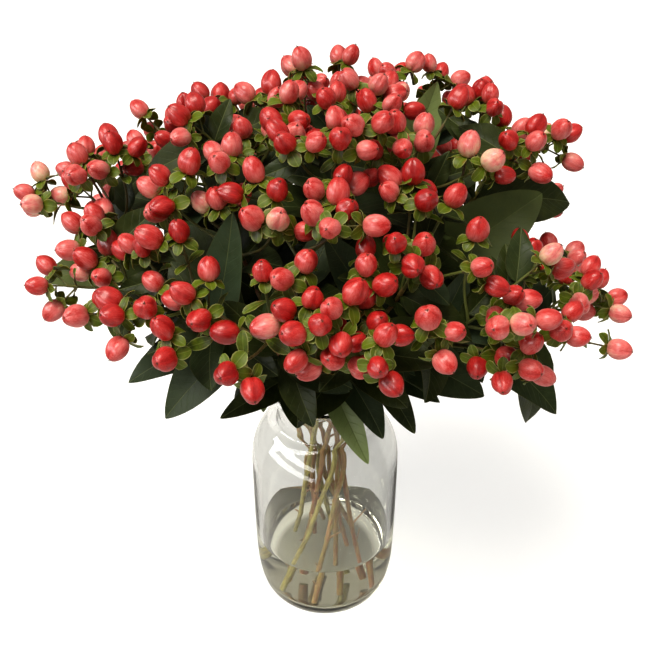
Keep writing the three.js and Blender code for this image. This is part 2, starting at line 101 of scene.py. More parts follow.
# The small leaves inside the bunch: how far below a spray they grow, and the ellipsoid that they stay in.
INNER = SimpleNamespace(falls=[14, 24, 40, 50, 60, 74, 84, 94, 108, 120], turns=6, length=58, room=1.2, margin=0.1,
                        taken=0.6, lift=22, reach=np.array([172.0, 158.0, 185.0]), within=1, angles=[58, 80, 40],
                        shares=[1, 0.85, 0.7])
SEED = 11
BEARING_LAG = 75
FACING = np.array([0.0, -0.9, 0.6])
VIEWER = np.array([0.0, -566.0, 666.0])
UP = np.array([0.0, 0.0, 1.0])
EAST = np.array([1.0, 0.0, 0.0])

# Each stem that stands in the vase: its bearing (0 is +X, 90 is the back), height angle over the crown's centre,
# reach to its berries, and radius at the waist.
MAINS = [
    (-9, 19, 200, 17), (-43, 36, 196, 10), (-79, 39, 192, 17), (-105, 38, 192, 10), (-131, 39, 194, 17),
    (-160, 33, 202, 10), (178, 38, 228, 17), (146, 34, 200, 10), (110, 34, 196, 17), (74, 34, 196, 10),
    (34, 32, 204, 17),
]
# Each branch: its bearing, height angle and reach, and the number of the stem that it forks from.
BRANCHES = [
    (-134, 58, 192, 5), (-99, 57, 199, 4), (-57, 51, 194, 3), (12, 50, 222, 1), (48, 54, 214, 11), (100, 54, 200, 9),
    (155, 53, 206, 8), (176, 73, 196, 7), (80, 71, 205, 10), (-10, 70, 200, 2), (-80, 80, 206, 6),
]
# Large leaves set one by one: stem number, distance below its spray, tip, width as a share of length, and droop.
SET_LEAVES = [
    (7, 34, (-198, -30, 336), 0.42, 0.6), (5, 6, (-57, -75, 412), 0.36, -0.3),
    (6, 66, (-140, -60, 270), 0.36, 0.7), (5, 34, (-109, -95, 267), 0.45, 0.6), (4, 100, (-72, -90, 262), 0.3, 0.6),
    (5, 100, (-66, -52, 246), 0.58, 0.5), (3, 66, (-17, -115, 281), 0.56, 0.7), (14, 34, (0, -85, 403), 0.34, -0.3),
    (16, 14, (82, 75, 442), 0.38, -0.3), (15, 66, (156, 20, 379), 0.52, 0.9), (15, 6, (185, 45, 357), 0.52, 0.6),
    (14, 6, (94, -95, 332), 0.4, 0.9), (1, 34, (171, -55, 237), 0.44, 0.8), (2, 66, (111, -75, 270), 0.5, 0.7),
    (1, 6, (161, -45, 213), 0.42, 1.1), (3, 100, (30, -101, 230), 0.3, 0.9), (14, 100, (46, -84, 243), 0.4, 0.8),
    (2, 100, (65, -70, 231), 0.32, 0.9), (2, 100, (84, -60, 253), 0.32, 0.5), (18, 34, (-154, 50, 364), 0.5, 0.6),
    (12, 34, (-110, -20, 372), 0.5, 0.5), (22, 34, (-41, -50, 386), 0.45, 0.4), (8, 100, (-95, 72, 252), 0.46, 0.8),
    (9, 100, (-28, 108, 246), 0.5, 0.8), (10, 100, (40, 104, 246), 0.5, 0.8), (11, 100, (104, 52, 250), 0.46, 0.8),
    (1, 100, (122, 12, 248), 0.44, 0.8), (7, 100, (-134, 20, 270), 0.44, 0.7), (6, 100, (-108, -18, 248), 0.44, 0.7),
    (4, 100, (-20, -80, 245), 0.72, 0.5), (12, 100, (-44, -73, 254), 0.36, 0.5),
]
# The green of a few leaves, by stem number and distance below the spray: 0 is lightest, 0.14 dark, and 1 blue green.
LEAF_SHADES = {
    (3, 100): 0.0, (12, 100): 0.0, (16, 14): 0.0, (15, 66): 0.09, (5, 6): 1.0, (14, 34): 1.0, (6, 66): 0.9,
    (7, 34): 0.09, (14, 100): 0.9,
}

# Places where large leaves show between the berries, seen from the front: a point and how wide the view is open.
CLEARINGS = [
    ((123, 28, 344), 30), ((-49, -59, 374), 22), ((10, -77, 373), 15), ((82, 58, 424), 15), ((-94, 55, 416), 12),
    ((-105, -7, 352), 16), ((82, -72, 348), 13), ((-85, -108, 305), 12),
]

# The front view as the camera has it, from VIEWER: its tilt, its focal length and the middle of its 650 rows and
# columns. Places in it are a column and a row.
VIEW = SimpleNamespace(tilt=math.radians(34.4), focal=893.0, middle=325.0)

# Where side shoots bear berries between the sprays, and where few berries show, with the radius of each such place.
SHOOT_SIGHTS = [
    (313, 335), (343, 352), (510, 360), (527, 268), (382, 164), (311, 165), (485, 350), (417, 201), (339, 318),
]
BARE_SIGHTS = [
    ((180, 108), 15), ((488, 169), 15), ((454, 189), 14), ((264, 84), 10), ((331, 61), 9), ((156, 367), 12),
    ((67, 320), 13), ((41, 281), 11), ((187, 223), 13), ((565, 251), 13), ((532, 332), 13), ((617, 346), 12),
]
# How far from the crown's centre the shoots may end, best first, and how far from the end their stem may be.
SHOOT = SimpleNamespace(shells=[196, 187, 178, 166, 154], nearest=24, furthest=78, upward=0.1, tries=160, turns=4,
                        nudge=0.5, apart=2.1, bow=0.14, draws=(4000, 4100, 4200, 4300))

# Where a leaf closes the view through the bunch, each with how far back it is.
GAP_SIGHTS = [
    (455, 122, 40), (466, 130, 30), (545, 298, -25), (534, 283, -25), (549, 159, 20), (433, 171, 30), (441, 168, 30),
    (173, 158, 20), (203, 164, 20), (255, 122, 50), (489, 132, 30), (482, 137, 30), (474, 302, -20), (362, 167, 30),
    (445, 120, 40), (541, 268, -20), (313, 333, -50), (475, 283, 0), (486, 294, -20), (272, 157, 20), (206, 126, 40),
    (222, 117, 50), (301, 176, 20), (276, 171, 20), (520, 250, 0), (508, 262, 0), (139, 284, -20), (125, 190, 10),
    (200, 125, 40), (141, 221, -10), (253, 246, -30), (430, 223, -20), (320, 118, 30), (436, 290, -40),
    (467, 182, 20), (459, 172, 20), (494, 272, -10), (239, 223, -20), (447, 133, 40), (123, 330, -20),
    (133, 181, 10), (476, 366, -50),
]
# These leaves are tried at several depths along the line of sight, and grow beyond it by a share of their length.
SCREEN = SimpleNamespace(depths=np.arange(-88, 89, 8.0), nearest=15, furthest=50, tries=400, beyond=1.7, slim=0.5,
                         droop=0.35, broadside=35, upward=8, least_upward=-0.35, most_broadside=0.75, within=1.24)

# ---- Small helpers -------------------------------------------------------------------------------------------------


def chance(i, k):
    """A repeatable number from 0 to 1 for item k of stem i."""
    s = math.sin(SEED + i * 127.1 + k * 311.7) * 43758.5453
    return s - math.floor(s)


def spread(i, k, half):
    """The same from -half to half."""
    return (2 * chance(i, k) - 1) * half


def unit(v):
    return v / math.sqrt(float(np.dot(v, v)))


def cross(a, b):
    return np.array([a[1] * b[2] - a[2] * b[1], a[2] * b[0] - a[0] * b[2], a[0] * b[1] - a[1] * b[0]])


def squared(v, axis):
    """A unit vector square to axis, as near as it can be to v."""
    return unit(v - axis * np.dot(axis, v))


def leaning(axis, side, turn, angle):
    """Direction at an angle from axis, on the side that turn gives round it."""
    out = side * math.cos(turn) + cross(axis, side) * math.sin(turn)
    return unit(axis * math.cos(angle) + out * math.sin(angle))


def swung(v, axis, angle):
    """v turned by an angle round an axis."""
    return v * math.cos(angle) + cross(axis, v) * math.sin(angle) + axis * np.dot(axis, v) * (1 - math.cos(angle))


def distance(a, b):
    return math.sqrt(float(((a - b) ** 2).sum()))


def reaches(line):
    """How far along a line each of its points is."""
    return np.concatenate([[0], np.linalg.norm(np.diff(line, axis=0), axis=1).cumsum()])


def turns(sides):
    """Angles of the sides of a ring."""
    return np.arange(sides) * 2 * np.pi / sides


# ---- How the plant grows: the same rule as the solids have ---------------------------------------------------------

WOOD, FRUIT, BLADE = range(3)
OWN_SHARE = 0.87  # how near the berries of one spray may come, as a share of their radii


class Room:
    """The room that is taken, as balls."""

    def __init__(self, most=20000):
        self.at = np.zeros((most, 3))
        self.radius = np.zeros(most)
        self.kind = np.zeros(most, int)
        self.owner = np.zeros(most, int)
        self.count = 0

    def take(self, balls, owner):
        at, radius, kind = balls
        rows = slice(self.count, self.count + len(at))
        self.at[rows], self.radius[rows], self.kind[rows], self.owner[rows] = at, radius, kind, owner
        self.count += len(at)
        return rows

    def without_leaves(self):
        """The room that stems, twigs and berries take."""
        hard, kept = Room(), np.nonzero(self.kind[: self.count] != BLADE)[0]
        hard.take((self.at[kept], self.radius[kept], self.kind[kept]), -1)
        return hard

    def is_clear(self, balls, owner, margin=CLEAR.margin):
        """True if no ball meets one already there. Balls of one spray may come closer, because they grow together."""
        at, radius, kind = balls
        middle, largest = at.mean(axis=0), CLEAR.calyx * 1.2
        reach = np.sqrt(((at - middle) ** 2).sum(axis=1)).max() + radius.max() + largest + margin
        near = np.nonzero(((self.at[: self.count] - middle) ** 2).sum(axis=1) < reach * reach)[0]
        if not len(near):
            return True
        gap = ((at[:, None] - self.at[near][None]) ** 2).sum(axis=2)
        both = radius[:, None] + self.radius[near][None]
        own = (self.owner[near] == owner)[None] & (kind != BLADE)[:, None] & (self.kind[near] != BLADE)[None]
        fruits = (kind == FRUIT)[:, None] & (self.kind[near] == FRUIT)[None]
        least = np.where(own, OWN_SHARE * both, both + margin)
        return not ((gap <= least * least) & ~(own & ~fruits)).any()


def joined(*parts):
    """Several sets of balls as one."""
    return tuple(np.concatenate(column) for column in zip(*parts))


def stem_line(stem, z):
    """Stems cross at a waist like the rods of a hyperboloid, so that no two of them meet."""
    turn = STEM.twist * (z - STEM.waist)
    c, s = math.cos(stem.waist_bearing) * stem.waist, math.sin(stem.waist_bearing) * stem.waist
    return np.array([c - s * turn, s + c * turn, z])


def arch_point(stem, t):
    """A point at a share t of a stem's arch, from where it leaves the vase or forks to its top."""
    t = np.asarray(t, float)[..., None]
    a, b, c, d = stem.arch
    return a * (1 - t) ** 3 + b * 3 * (1 - t) ** 2 * t + c * 3 * (1 - t) * t ** 2 + d * t ** 3


def mouth_of(stem):
    """Where a stem leaves the vase, and its direction there."""
    stem.waist_bearing = math.radians(stem.bearing - BEARING_LAG)
    stem.foot = stem_line(stem, VASE.base + STEM.cut)
    mouth = stem_line(stem, VASE.height)
    return mouth, unit(mouth - stem.foot)


def fork_of(parent, top):
    """Where a branch leaves its stem, and its direction there."""
    start = arch_point(parent, BRANCH.fork)
    return start, unit(arch_direction(parent, BRANCH.fork) + unit(top - start) * BRANCH.inward)


def plan_stem(i, bearing, rise, reach, waist=None, parent=None):
    stem = SimpleNamespace(number=i, bearing=bearing, waist=waist, parent=parent, branch=None, stalk=None)
    b, r = math.radians(bearing), math.radians(rise)
    aim = np.array([math.cos(b) * math.cos(r), math.sin(b) * math.cos(r), math.sin(r)])
    stem.axis = unit(aim + UP * CROWN.lift)
    stem.top = CROWN.centre + aim * (reach - CROWN.spray)
    stem.side = squared(leaning(UP, aim, chance(i, 1) * math.pi, math.pi / 2), stem.axis)
    start, rising = fork_of(parent, stem.top) if parent else mouth_of(stem)
    span = distance(stem.top, start)
    stem.arch = (start, start + rising * STEM.rising * span, stem.top - stem.axis * STEM.ending * span, stem.top)
    chords = np.diff(arch_point(stem, np.arange(201) / 200), axis=0)
    stem.arch_length = float(np.sqrt((chords ** 2).sum(axis=1)).sum())
    stem.leaves, stem.twigs = [], []
    return stem


def arch_direction(stem, t):
    ends = arch_point(stem, np.clip([t - 0.0001, t + 0.0001], 0, 1))
    return unit(ends[1] - ends[0])


def down_stem(stem, fall):
    """Point and direction at a distance down a stem or branch from its top."""
    t = 1 - fall / stem.arch_length
    return arch_point(stem, t), arch_direction(stem, t)


def berry_point(berry, up):
    """A point on a berry's axis, at a height above its foot."""
    return berry.start + berry.direction * (berry.pedicel + up * berry.size)


def is_lifted(berry):
    """The bunch is lifted at the front, so that no berry hangs before the vase."""
    return berry_point(berry, BERRY.middle)[2] > CROWN.under - 0.5 * min(berry.start[1], 0)


def berry_balls(berry):
    """Balls round a berry, its calyx and its pedicel."""
    stalk = [berry.start + berry.direction * berry.pedicel * share for share in (0.35, 0.7)]
    at = np.array([berry_point(berry, BERRY.middle), berry_point(berry, 1), *stalk])
    radius = np.array([CLEAR.berry * berry.size, CLEAR.calyx * berry.size, CLEAR.twig, CLEAR.twig])
    return at, radius, np.array([FRUIT, WOOD, WOOD, WOOD])


def line_balls(points, radius, kind):
    """Balls along a line, about 4 mm apart."""
    at = []
    for a, b in zip(points, points[1:]):
        steps = math.ceil(distance(a, b) / 4)
        at += [a + (b - a) * s / steps for s in range(1, steps + 1)]
    return np.array(at), np.full(len(at), float(radius)), np.full(len(at), kind)


def plan_berries(i, k, draws, end, last, plane, apart, nudge):
    """The berries at the end of twig k: the first goes straight on, and the others spread round it.

    draws are the first numbers of the chances that a berry's lean, pedicel, size and roll are drawn from.
    """
    berries = []
    for b in range(4):
        fork, reach, size, roll = (first + 5 * k + b for first in draws)
        lean = BERRY.fork + spread(i, fork, 0.12) if b else BERRY.straight
        berries.append(SimpleNamespace(
            start=end + last * (-7 if b > 2 else -1), direction=leaning(last, plane, (b - 1) * apart + nudge, lean),
            pedicel=BERRY.pedicel * (1.2 if b else 0.95) * (1 + spread(i, reach, 0.15)),
            size=1 + spread(i, size, 0.1), roll=chance(i, roll) * 2 * math.pi, key=(i, 400 + 10 * k + b),
        ))
    return berries


def plan_twig(stem, k, attempt):
    """Twig number k of a spray: 0 goes straight on, 1 and 2 are a pair, 3 and 4 the pair above."""
    i, base = stem.number, stem.top + stem.axis * TWIG.starts[k]
    nudge = attempt * TWIG.nudge * (1 if attempt % 2 else -1)
    turn = (math.pi / 2 if k > 2 else 0) + (0 if k % 2 else math.pi) + spread(i, 10 + k, 0.25) + nudge
    angle = math.radians(TWIG.high_angle if k > 2 else TWIG.low_angle) + spread(i, 20 + k, 0.1)
    if not k:
        angle = abs(nudge) * 0.25
    first = leaning(stem.axis, stem.side, turn, angle) if k else stem.axis
    last = leaning(stem.axis, stem.side, turn, angle * TWIG.straighter if k else angle)
    length = TWIG.lengths[k] * (1 + spread(i, 30 + k, 0.12))
    bend = base + first * (length * 0.5 if k else TWIG.stalk)
    end = bend + last * (length * 0.5 if k else length - TWIG.stalk)
    plane = squared(leaning(last, stem.side, chance(i, 40 + k) * math.pi, math.pi / 2), last)
    count = 4 if chance(i, 50 + k) > TWIG.three else 3
    berries = plan_berries(i, k, TWIG.draws, end, last, plane, 2 * math.pi / (count - 1), nudge)[:count]
    return SimpleNamespace(points=[base, bend, end], last=last, plane=plane, berries=berries, number=k)


def has_room(twig, owner, room):
    """True if a twig's wood has room. It then keeps those of its berries that have room too."""
    if not room.is_clear(line_balls(twig.points, CLEAR.twig, WOOD), owner):
        return False
    own, kept = Room(32), []
    for berry in twig.berries:
        balls = berry_balls(berry)
        if is_lifted(berry) and room.is_clear(balls, owner) and own.is_clear(balls, owner):
            own.take(balls, owner)
            kept.append(berry)
    twig.berries = kept
    return True


def take_room(twig, owner, room):
    """Takes the room of a twig and its berries."""
    room.take(joined(*map(berry_balls, twig.berries), line_balls(twig.points, CLEAR.twig, WOOD)), owner)


def sight_line(sight):
    """Direction from the camera through a place in the front view."""
    across, down = ((number - VIEW.middle) / VIEW.focal for number in sight)
    c, s = math.cos(VIEW.tilt), math.sin(VIEW.tilt)
    return unit(np.array([across, c - down * s, -s - down * c]))


def seen_at(point):
    """Where a point shows in the front view."""
    x, y, z = point - VIEWER
    c, s = math.cos(VIEW.tilt), math.sin(VIEW.tilt)
    depth = c * y - s * z
    return VIEW.middle + VIEW.focal * x / depth, VIEW.middle - VIEW.focal * (s * y + c * z) / depth


def is_kept(berry):
    """Some berries have dropped, among them all that would hide a clearing from the front."""
    if chance(*berry.key) < BERRY.dropped and abs(berry.start[0]) < BERRY.full_beyond:
        return False
    at = berry_point(berry, BERRY.middle)
    if any(math.dist(seen_at(at), sight) < radius for sight, radius in BARE_SIGHTS):
        return False
    for middle, width in CLEARINGS:
        ahead = unit(VIEWER - middle)
        way = at - middle
        depth = float(np.dot(way, ahead))
        if depth > BERRY.behind and distance(way, ahead * depth) < width:
            return False
    return True


def grow_spray(stem, room):
    """The twigs of a stem's spray, each in the first of several directions where most of its berries have room."""
    i = stem.number
    for k in range(len(TWIG.lengths)):
        best = None
        for attempt in range(TWIG.tries):
            twig = plan_twig(stem, k, attempt)
            if not has_room(twig, i, room):
                continue
            if best is None or len(twig.berries) > len(best.berries):
                best = twig
            if len(best.berries) > 3 or (attempt > 1 and len(best.berries) > 2):
                break
        if best and best.berries:
            take_room(best, i, room)
            best.berries = [best.berries[0], *filter(is_kept, best.berries[1:])]
            stem.twigs.append(best)
        elif not k:
            stem.stalk = stem.top + stem.axis * TWIG.stalk


def plan_shoot(stem, node, direction, end, number, attempt):
    """A side shoot from a stem to a bunch of berries round the given end."""
    chord, length = unit(end - node), distance(end, node)
    bend = node + chord * length * 0.5 + direction * length * SHOOT.bow
    last = unit(end - bend)
    plane = squared(stem.side, last)
    berries = plan_berries(stem.number, number, SHOOT.draws, end, last, plane, SHOOT.apart,
                           attempt * SHOOT.nudge)
    return SimpleNamespace(points=[node, bend, end], last=last, plane=plane, berries=berries, number=number)


def shoot_places(nodes, sight):
    """Ends for a side shoot that shows at a place in the front view, each with the nodes near it, nearest first."""
    owners, roots, ways = nodes
    look, off = sight_line(sight), VIEWER - CROWN.centre
    along = float(np.dot(off, look))
    for shell in SHOOT.shells:
        inside = along * along - float(np.dot(off, off)) + shell ** 2
        if inside < 0:
            continue
        end = VIEWER - look * (along + math.sqrt(inside))
        spans = end - roots
        lengths = np.sqrt((spans ** 2).sum(axis=1))
        upward = (spans * ways).sum(axis=1) / lengths
        fits = (lengths > SHOOT.nearest) & (lengths < SHOOT.furthest) & (upward > SHOOT.upward)
        for n in np.argsort(np.where(fits, lengths, np.inf))[: min(SHOOT.tries, fits.sum())]:
            yield end, owners[n], roots[n], ways[n]


def grow_shoot(stems, nodes, sight, number, room):
    """A side shoot whose berries show at the given place in the front view, from the nearest stem that has room."""
    best, most = None, 1
    for end, owner, root, way in shoot_places(nodes, sight):
        stem = stems[owner]
        for attempt in range(SHOOT.turns):
            shoot = plan_shoot(stem, root, way, end, number, attempt)
            if not has_room(shoot, stem.number, room):
                break
            if len(shoot.berries) > most:
                best, most = (stem, shoot), len(shoot.berries)
        if most > 2:
            break
    if best:
        stem, shoot = best
        take_room(shoot, stem.number, room)
        stem.twigs.append(shoot)


def blade_width(t):
    """Half the width of a leaf at a share t of its length: widest below the middle, with a pointed tip."""
    return np.sin(np.pi * np.power(t, 0.74))


def full_width(t):
    """The same with fuller curves, for the leaves that are shown."""
    return 1.05 * np.sin(np.pi * np.power(t, 0.74)) ** 0.72


def half_width(leaf, t):
    """Half the width of a leaf at a share t of its length, which is never less near its root than its stalk is."""
    return np.maximum(leaf.width * 0.5 * leaf.outline(t), np.where(t < 0.5, leaf.least, 0.0))


def blade_points(leaf, t, across, lift=0.0):
    """Points of a leaf's blade, a row for each t from its root to its tip, and a column for each across, -1 to 1."""
    t, across = np.atleast_1d(np.asarray(t, float)), np.atleast_1d(np.asarray(across, float))
    a = (leaf.droop * t)[:, None]
    rib = leaf.root + leaf.direction * (leaf.length * np.sin(a) / leaf.droop)
    rib = rib - leaf.upper * (leaf.length * (1 - np.cos(a)) / leaf.droop)
    upper = leaf.upper * np.cos(a) + leaf.direction * np.sin(a)
    side = cross(leaf.direction, leaf.upper)
    half = half_width(leaf, t)[:, None] * across[None]
    rise = np.abs(half) * math.sin(leaf.fold) + lift
    return rib[:, None] + side * (half * math.cos(leaf.fold))[..., None] + upper[:, None] * rise[..., None]


def leaf_balls(leaf, start=LEAF.start):
    """Balls over a leaf's blade, except where it leaves its stem."""
    at, t = [], start
    while t < 1.01:
        at.append(blade_points(leaf, min(t, 1), [0] if t > 0.9 else [-0.86, -0.3, 0.3, 0.86])[0])
        t += LEAF.step
    at = np.concatenate(at)
    return at, np.full(len(at), CLEAR.leaf), np.full(len(at), BLADE)


def make_leaf(root, direction, upper, length, width, droop, **more):
    shape = dict(fold=LEAF.fold, least=1.1, outline=blade_width, shade=None, is_inner=False)
    return SimpleNamespace(root=root, direction=direction, upper=upper, length=length, width=width, droop=droop,
                           **{**shape, **more})


def plan_leaf(stem, k, attempt):
    """Leaf number k of a stem, in pairs from the top down. Later attempts turn it round the stem and shorten it."""
    i, pair = stem.number, k // 2
    node, direction = down_stem(stem, LEAF.roots[pair])
    side = squared(stem.side, direction)
    turn = (math.pi / 2 if pair % 2 else 0) + (math.pi if k % 2 else 0) + spread(i, 200 + k, 0.3)
    angle = math.radians(LEAF.angle + LEAF.wider * pair) + spread(i, 220 + k, 0.22) + (0.35 if attempt > 4 else 0)
    way = leaning(direction, side, turn + LEAF.swings[attempt], angle)
    way = unit(way + unit(np.array([node[0], node[1], 0.0])) * LEAF.outward)
    length = LEAF.lengths[pair] * (1 + spread(i, 240 + k, 0.14)) * (LEAF.shorter if attempt > 2 else 1)
    width = length * LEAF.slim * (1 + spread(i, 260 + k, 0.1))
    droop = LEAF.droop + 0.06 * pair + spread(i, 280 + k, 0.3)
    return make_leaf(node + way * STEM.radius * LEAF.root, way, squared(direction, way), length, width, droop)


def set_leaf(stem, fall, tip, slim, droop):
    """A leaf from the given place on a stem to its tip."""
    node, _ = down_stem(stem, fall)
    span = np.array(tip, float) - node
    chord = unit(span)
    upper = squared(unit(node + span * 0.5 - CROWN.centre) + FACING, chord)
    way = chord * math.cos(droop / 2) + upper * math.sin(droop / 2)
    length = math.sqrt(float(np.dot(span, span))) * droop / 2 / math.sin(droop / 2)
    root = node + chord * STEM.radius * LEAF.root
    return make_leaf(root, way, squared(upper, way), length, length * slim, droop)


def is_over_vase(leaf, lift=0.0):
    """Leaves keep clear of the vase, over which the lowest of them hang."""
    at = leaf_balls(leaf)[0]
    return bool((at[:, 2] > LEAF.skirt + lift + LEAF.hang * np.hypot(at[:, 0], at[:, 1])).all())


def grow_leaf(stem, k, room):
    """Leaf number k of a stem, if there is room for it."""
    if LEAF.roots[k // 2] > stem.arch_length - 12:
        return
    for attempt in range(len(LEAF.swings)):
        leaf = plan_leaf(stem, k, attempt)
        balls = leaf_balls(leaf)
        if is_over_vase(leaf) and room.is_clear(balls, stem.number):
            leaf.rows, leaf.start = room.take(balls, stem.number), LEAF.start
            stem.leaves.append(leaf)
            return


NET_ROWS = np.array([0.1, 0.2, 0.32, 0.44, 0.56, 0.68, 0.8, 0.9, 1.0])
NET_COLUMNS = np.array([-1, -0.5, 0, 0.5, 1])


def net_of(leaf):
    """A leaf's blade as it is shown, as a coarse net of triangles."""
    grid = blade_points(SimpleNamespace(**{**vars(leaf), "outline": full_width}), NET_ROWS, NET_COLUMNS)
    a, b, c, d = grid[:-1, :-1], grid[:-1, 1:], grid[1:, 1:], grid[1:, :-1]
    return np.concatenate([np.stack(corners, axis=2).reshape(-1, 3, 3) for corners in ((a, b, c), (a, c, d))])


def passes(starts, ends, net):
    """How many times lines from starts to ends pass through a net."""
    near = (np.maximum(starts, ends) >= net.min(axis=(0, 1))) & (np.minimum(starts, ends) <= net.max(axis=(0, 1)))
    near = near.all(axis=1)
    if not near.any():
        return 0
    start, way = starts[near][:, None], (ends - starts)[near][:, None]
    first, second = (net[:, 1] - net[:, 0])[None], (net[:, 2] - net[:, 0])[None]
    h = np.cross(way, second)
    scale = (first * h).sum(axis=2)
    slanted = np.abs(scale) > 1e-9
    scale = np.where(slanted, scale, 1.0)
    off = start - net[:, 0][None]
    q = np.cross(off, first)
    u, v, t = ((off * h).sum(axis=2) / scale, (way * q).sum(axis=2) / scale, (second * q).sum(axis=2) / scale)
    return int((slanted & (u >= 0) & (v >= 0) & (u + v <= 1) & (t >= 0) & (t <= 1)).sum())


def meetings(net, others, wood=None):
    """How many times a leaf's net passes through the other leaves' nets, and wood through it."""
    count = passes(*wood, net) if wood else 0
    low, high = net.min(axis=(0, 1)), net.max(axis=(0, 1))
    for other in others:
        if (other.min(axis=(0, 1)) <= high).all() and (other.max(axis=(0, 1)) >= low).all():
            for a, b in ((net, other), (other, net)):
                count += passes(a.reshape(-1, 3), np.roll(a, -1, axis=1).reshape(-1, 3), b)
    return count


def wood_lines(stems):
    """Starts and ends of short lines along all stems, twigs and pedicels."""
    starts, ends = [], []
    for stem in stems:
        lines = [arch_point(stem, np.linspace(0, 1, 30))]
        lines += [np.array(twig.points) for twig in stem.twigs]
        lines += [np.array([berry.start, berry_point(berry, 3)]) for twig in stem.twigs for berry in twig.berries]
        starts += [line[:-1] for line in lines]
        ends += [line[1:] for line in lines]
    return np.concatenate(starts), np.concatenate(ends)


def settle_leaf(leaf, nets, hard, wood, room):
    """Turns a leaf a little about its root where its blade would pass through another's."""
    best, least = leaf, meetings(net_of(leaf), nets)
    side = cross(leaf.direction, leaf.upper)
    for roll, nod in [(roll, nod) for nod in SETTLE.nods for roll in SETTLE.rolls][1:]:
        if not least:
            break
        direction, upper = swung(leaf.direction, side, nod), swung(leaf.upper, side, nod)
        turned = SimpleNamespace(**{**vars(leaf), "direction": direction, "upper": swung(upper, direction, roll)})
        at, _, kind = leaf_balls(turned)
        over_rim = at[:, 2] > VASE.height + SETTLE.above_rim
        above = over_rim | (np.hypot(at[:, 0], at[:, 1]) > VASE.rim_radius + SETTLE.off_rim)
        if not above.all() or (is_over_vase(leaf) and not is_over_vase(turned)):
            continue
        if hard.is_clear((at, np.full(len(at), INNER.room), kind), -1, INNER.margin):
            count = meetings(net_of(turned), nets, wood)
            if count < least:
                best, least = turned, count
    room.at[best.rows] = leaf_balls(best, best.start)[0]
    nets.append(net_of(best))
    return best


def has_grown(leaf, stem, owner, within, lift, taken, room, nets, wood):
    """Adds a leaf inside the bunch to a stem, if there is room for it and it crosses no other blade and no wood."""
    at, _, kind = leaf_balls(leaf)
    inside = np.sqrt((((at - CROWN.centre) / INNER.reach) ** 2).sum(axis=1)).max() < within
    balls = at, np.full(len(at), INNER.room), kind
    if not (inside and is_over_vase(leaf, lift) and taken.is_clear(balls, owner, INNER.margin)):
        return False
    net = net_of(leaf)
    if meetings(net, nets, wood):
        return False
    nets.append(net)
    room.take((at, np.full(len(at), CLEAR.leaf * INNER.taken), kind), owner)
    stem.leaves.append(leaf)
    return True


def grow_inner_leaf(stem, k, room, nets, wood):
    """A leaf that fills the inside of the bunch, where there is room for it."""
    i, fall = stem.number, INNER.falls[k // 2]
    if fall > stem.arch_length - 8:
        return
    node, direction = down_stem(stem, fall)
    side = squared(stem.side, direction)
    for angle, share in zip(INNER.angles, INNER.shares):
        for step in range(INNER.turns):
            turn = step * 2 * math.pi / INNER.turns + math.pi * (k % 2) + spread(i, 700 + k, 0.4)
            way = leaning(direction, side, turn, math.radians(angle) + spread(i, 740 + k, 0.3))
            length = INNER.length * (1 + spread(i, 780 + k, 0.2)) * share
            width = length * LEAF.slim * (1 + spread(i, 820 + k, 0.12))
            leaf = make_leaf(node + way * STEM.radius * 0.5, way, squared(direction, way), length, width,
                             0.6 + spread(i, 860 + k, 0.3), is_inner=True)
            if has_grown(leaf, stem, i, INNER.within, INNER.lift, room, room, nets, wood):
                return


def grow_screen_leaf(stems, nodes, place, room, nets, wood):
    """A leaf across a line of sight through the bunch, from the nearest stem that has room for it."""
    owners, roots, ways = nodes
    look = unit(place - VIEWER)
    middles = place + look * SCREEN.depths[:, None]
    spans = middles[None] - roots[:, None]
    lengths = np.sqrt((spans ** 2).sum(axis=2))
    chords = spans / lengths[..., None]
    broadside = np.abs((chords * look).sum(axis=2))
    upward = (chords * ways[:, None]).sum(axis=2)
    cost = lengths + SCREEN.broadside * broadside - SCREEN.upward * upward
    wrong = (lengths < SCREEN.nearest) | (lengths > SCREEN.furthest)
    cost[wrong | (upward < SCREEN.least_upward) | (broadside > SCREEN.most_broadside)] = np.inf
    for taken in (room, room.without_leaves()):
        for pick in np.argsort(cost, axis=None)[: SCREEN.tries]:
            n, depth = np.unravel_index(pick, cost.shape)
            if not np.isfinite(cost[n, depth]):
                break
            chord, length = chords[n, depth], lengths[n, depth] * SCREEN.beyond
            upper = squared(unit(middles[depth] - CROWN.centre) * 0.5 - look, chord)
            leaf = make_leaf(roots[n] + chord * STEM.radius * 0.5, chord, upper, length, length * SCREEN.slim,
                             SCREEN.droop)
            if has_grown(leaf, stems[owners[n]], -1, SCREEN.within, 0.0, taken, room, nets, wood):
                return


# How far below a spray the places are that side shoots and closing leaves may grow from.
NODE_FALLS = SimpleNamespace(first=6, last=120, above_foot=10, apart=8)


def stem_nodes(stems, with_twigs=False):
    """Places that a leaf or a side shoot can grow from: their stem, point and direction."""
    nodes = []
    for n, stem in enumerate(stems):
        last = min(stem.arch_length - NODE_FALLS.above_foot, NODE_FALLS.last)
        nodes += [(n, *down_stem(stem, fall)) for fall in np.arange(NODE_FALLS.first, last, NODE_FALLS.apart)]
    for n, stem in enumerate(stems):
        for twig in stem.twigs if with_twigs else []:
            for a, b in zip(twig.points, twig.points[1:]):
                nodes += [(n, a + (b - a) * share, unit(b - a)) for share in (0.2, 0.5, 0.8)]
    return tuple(map(np.array, zip(*nodes)))


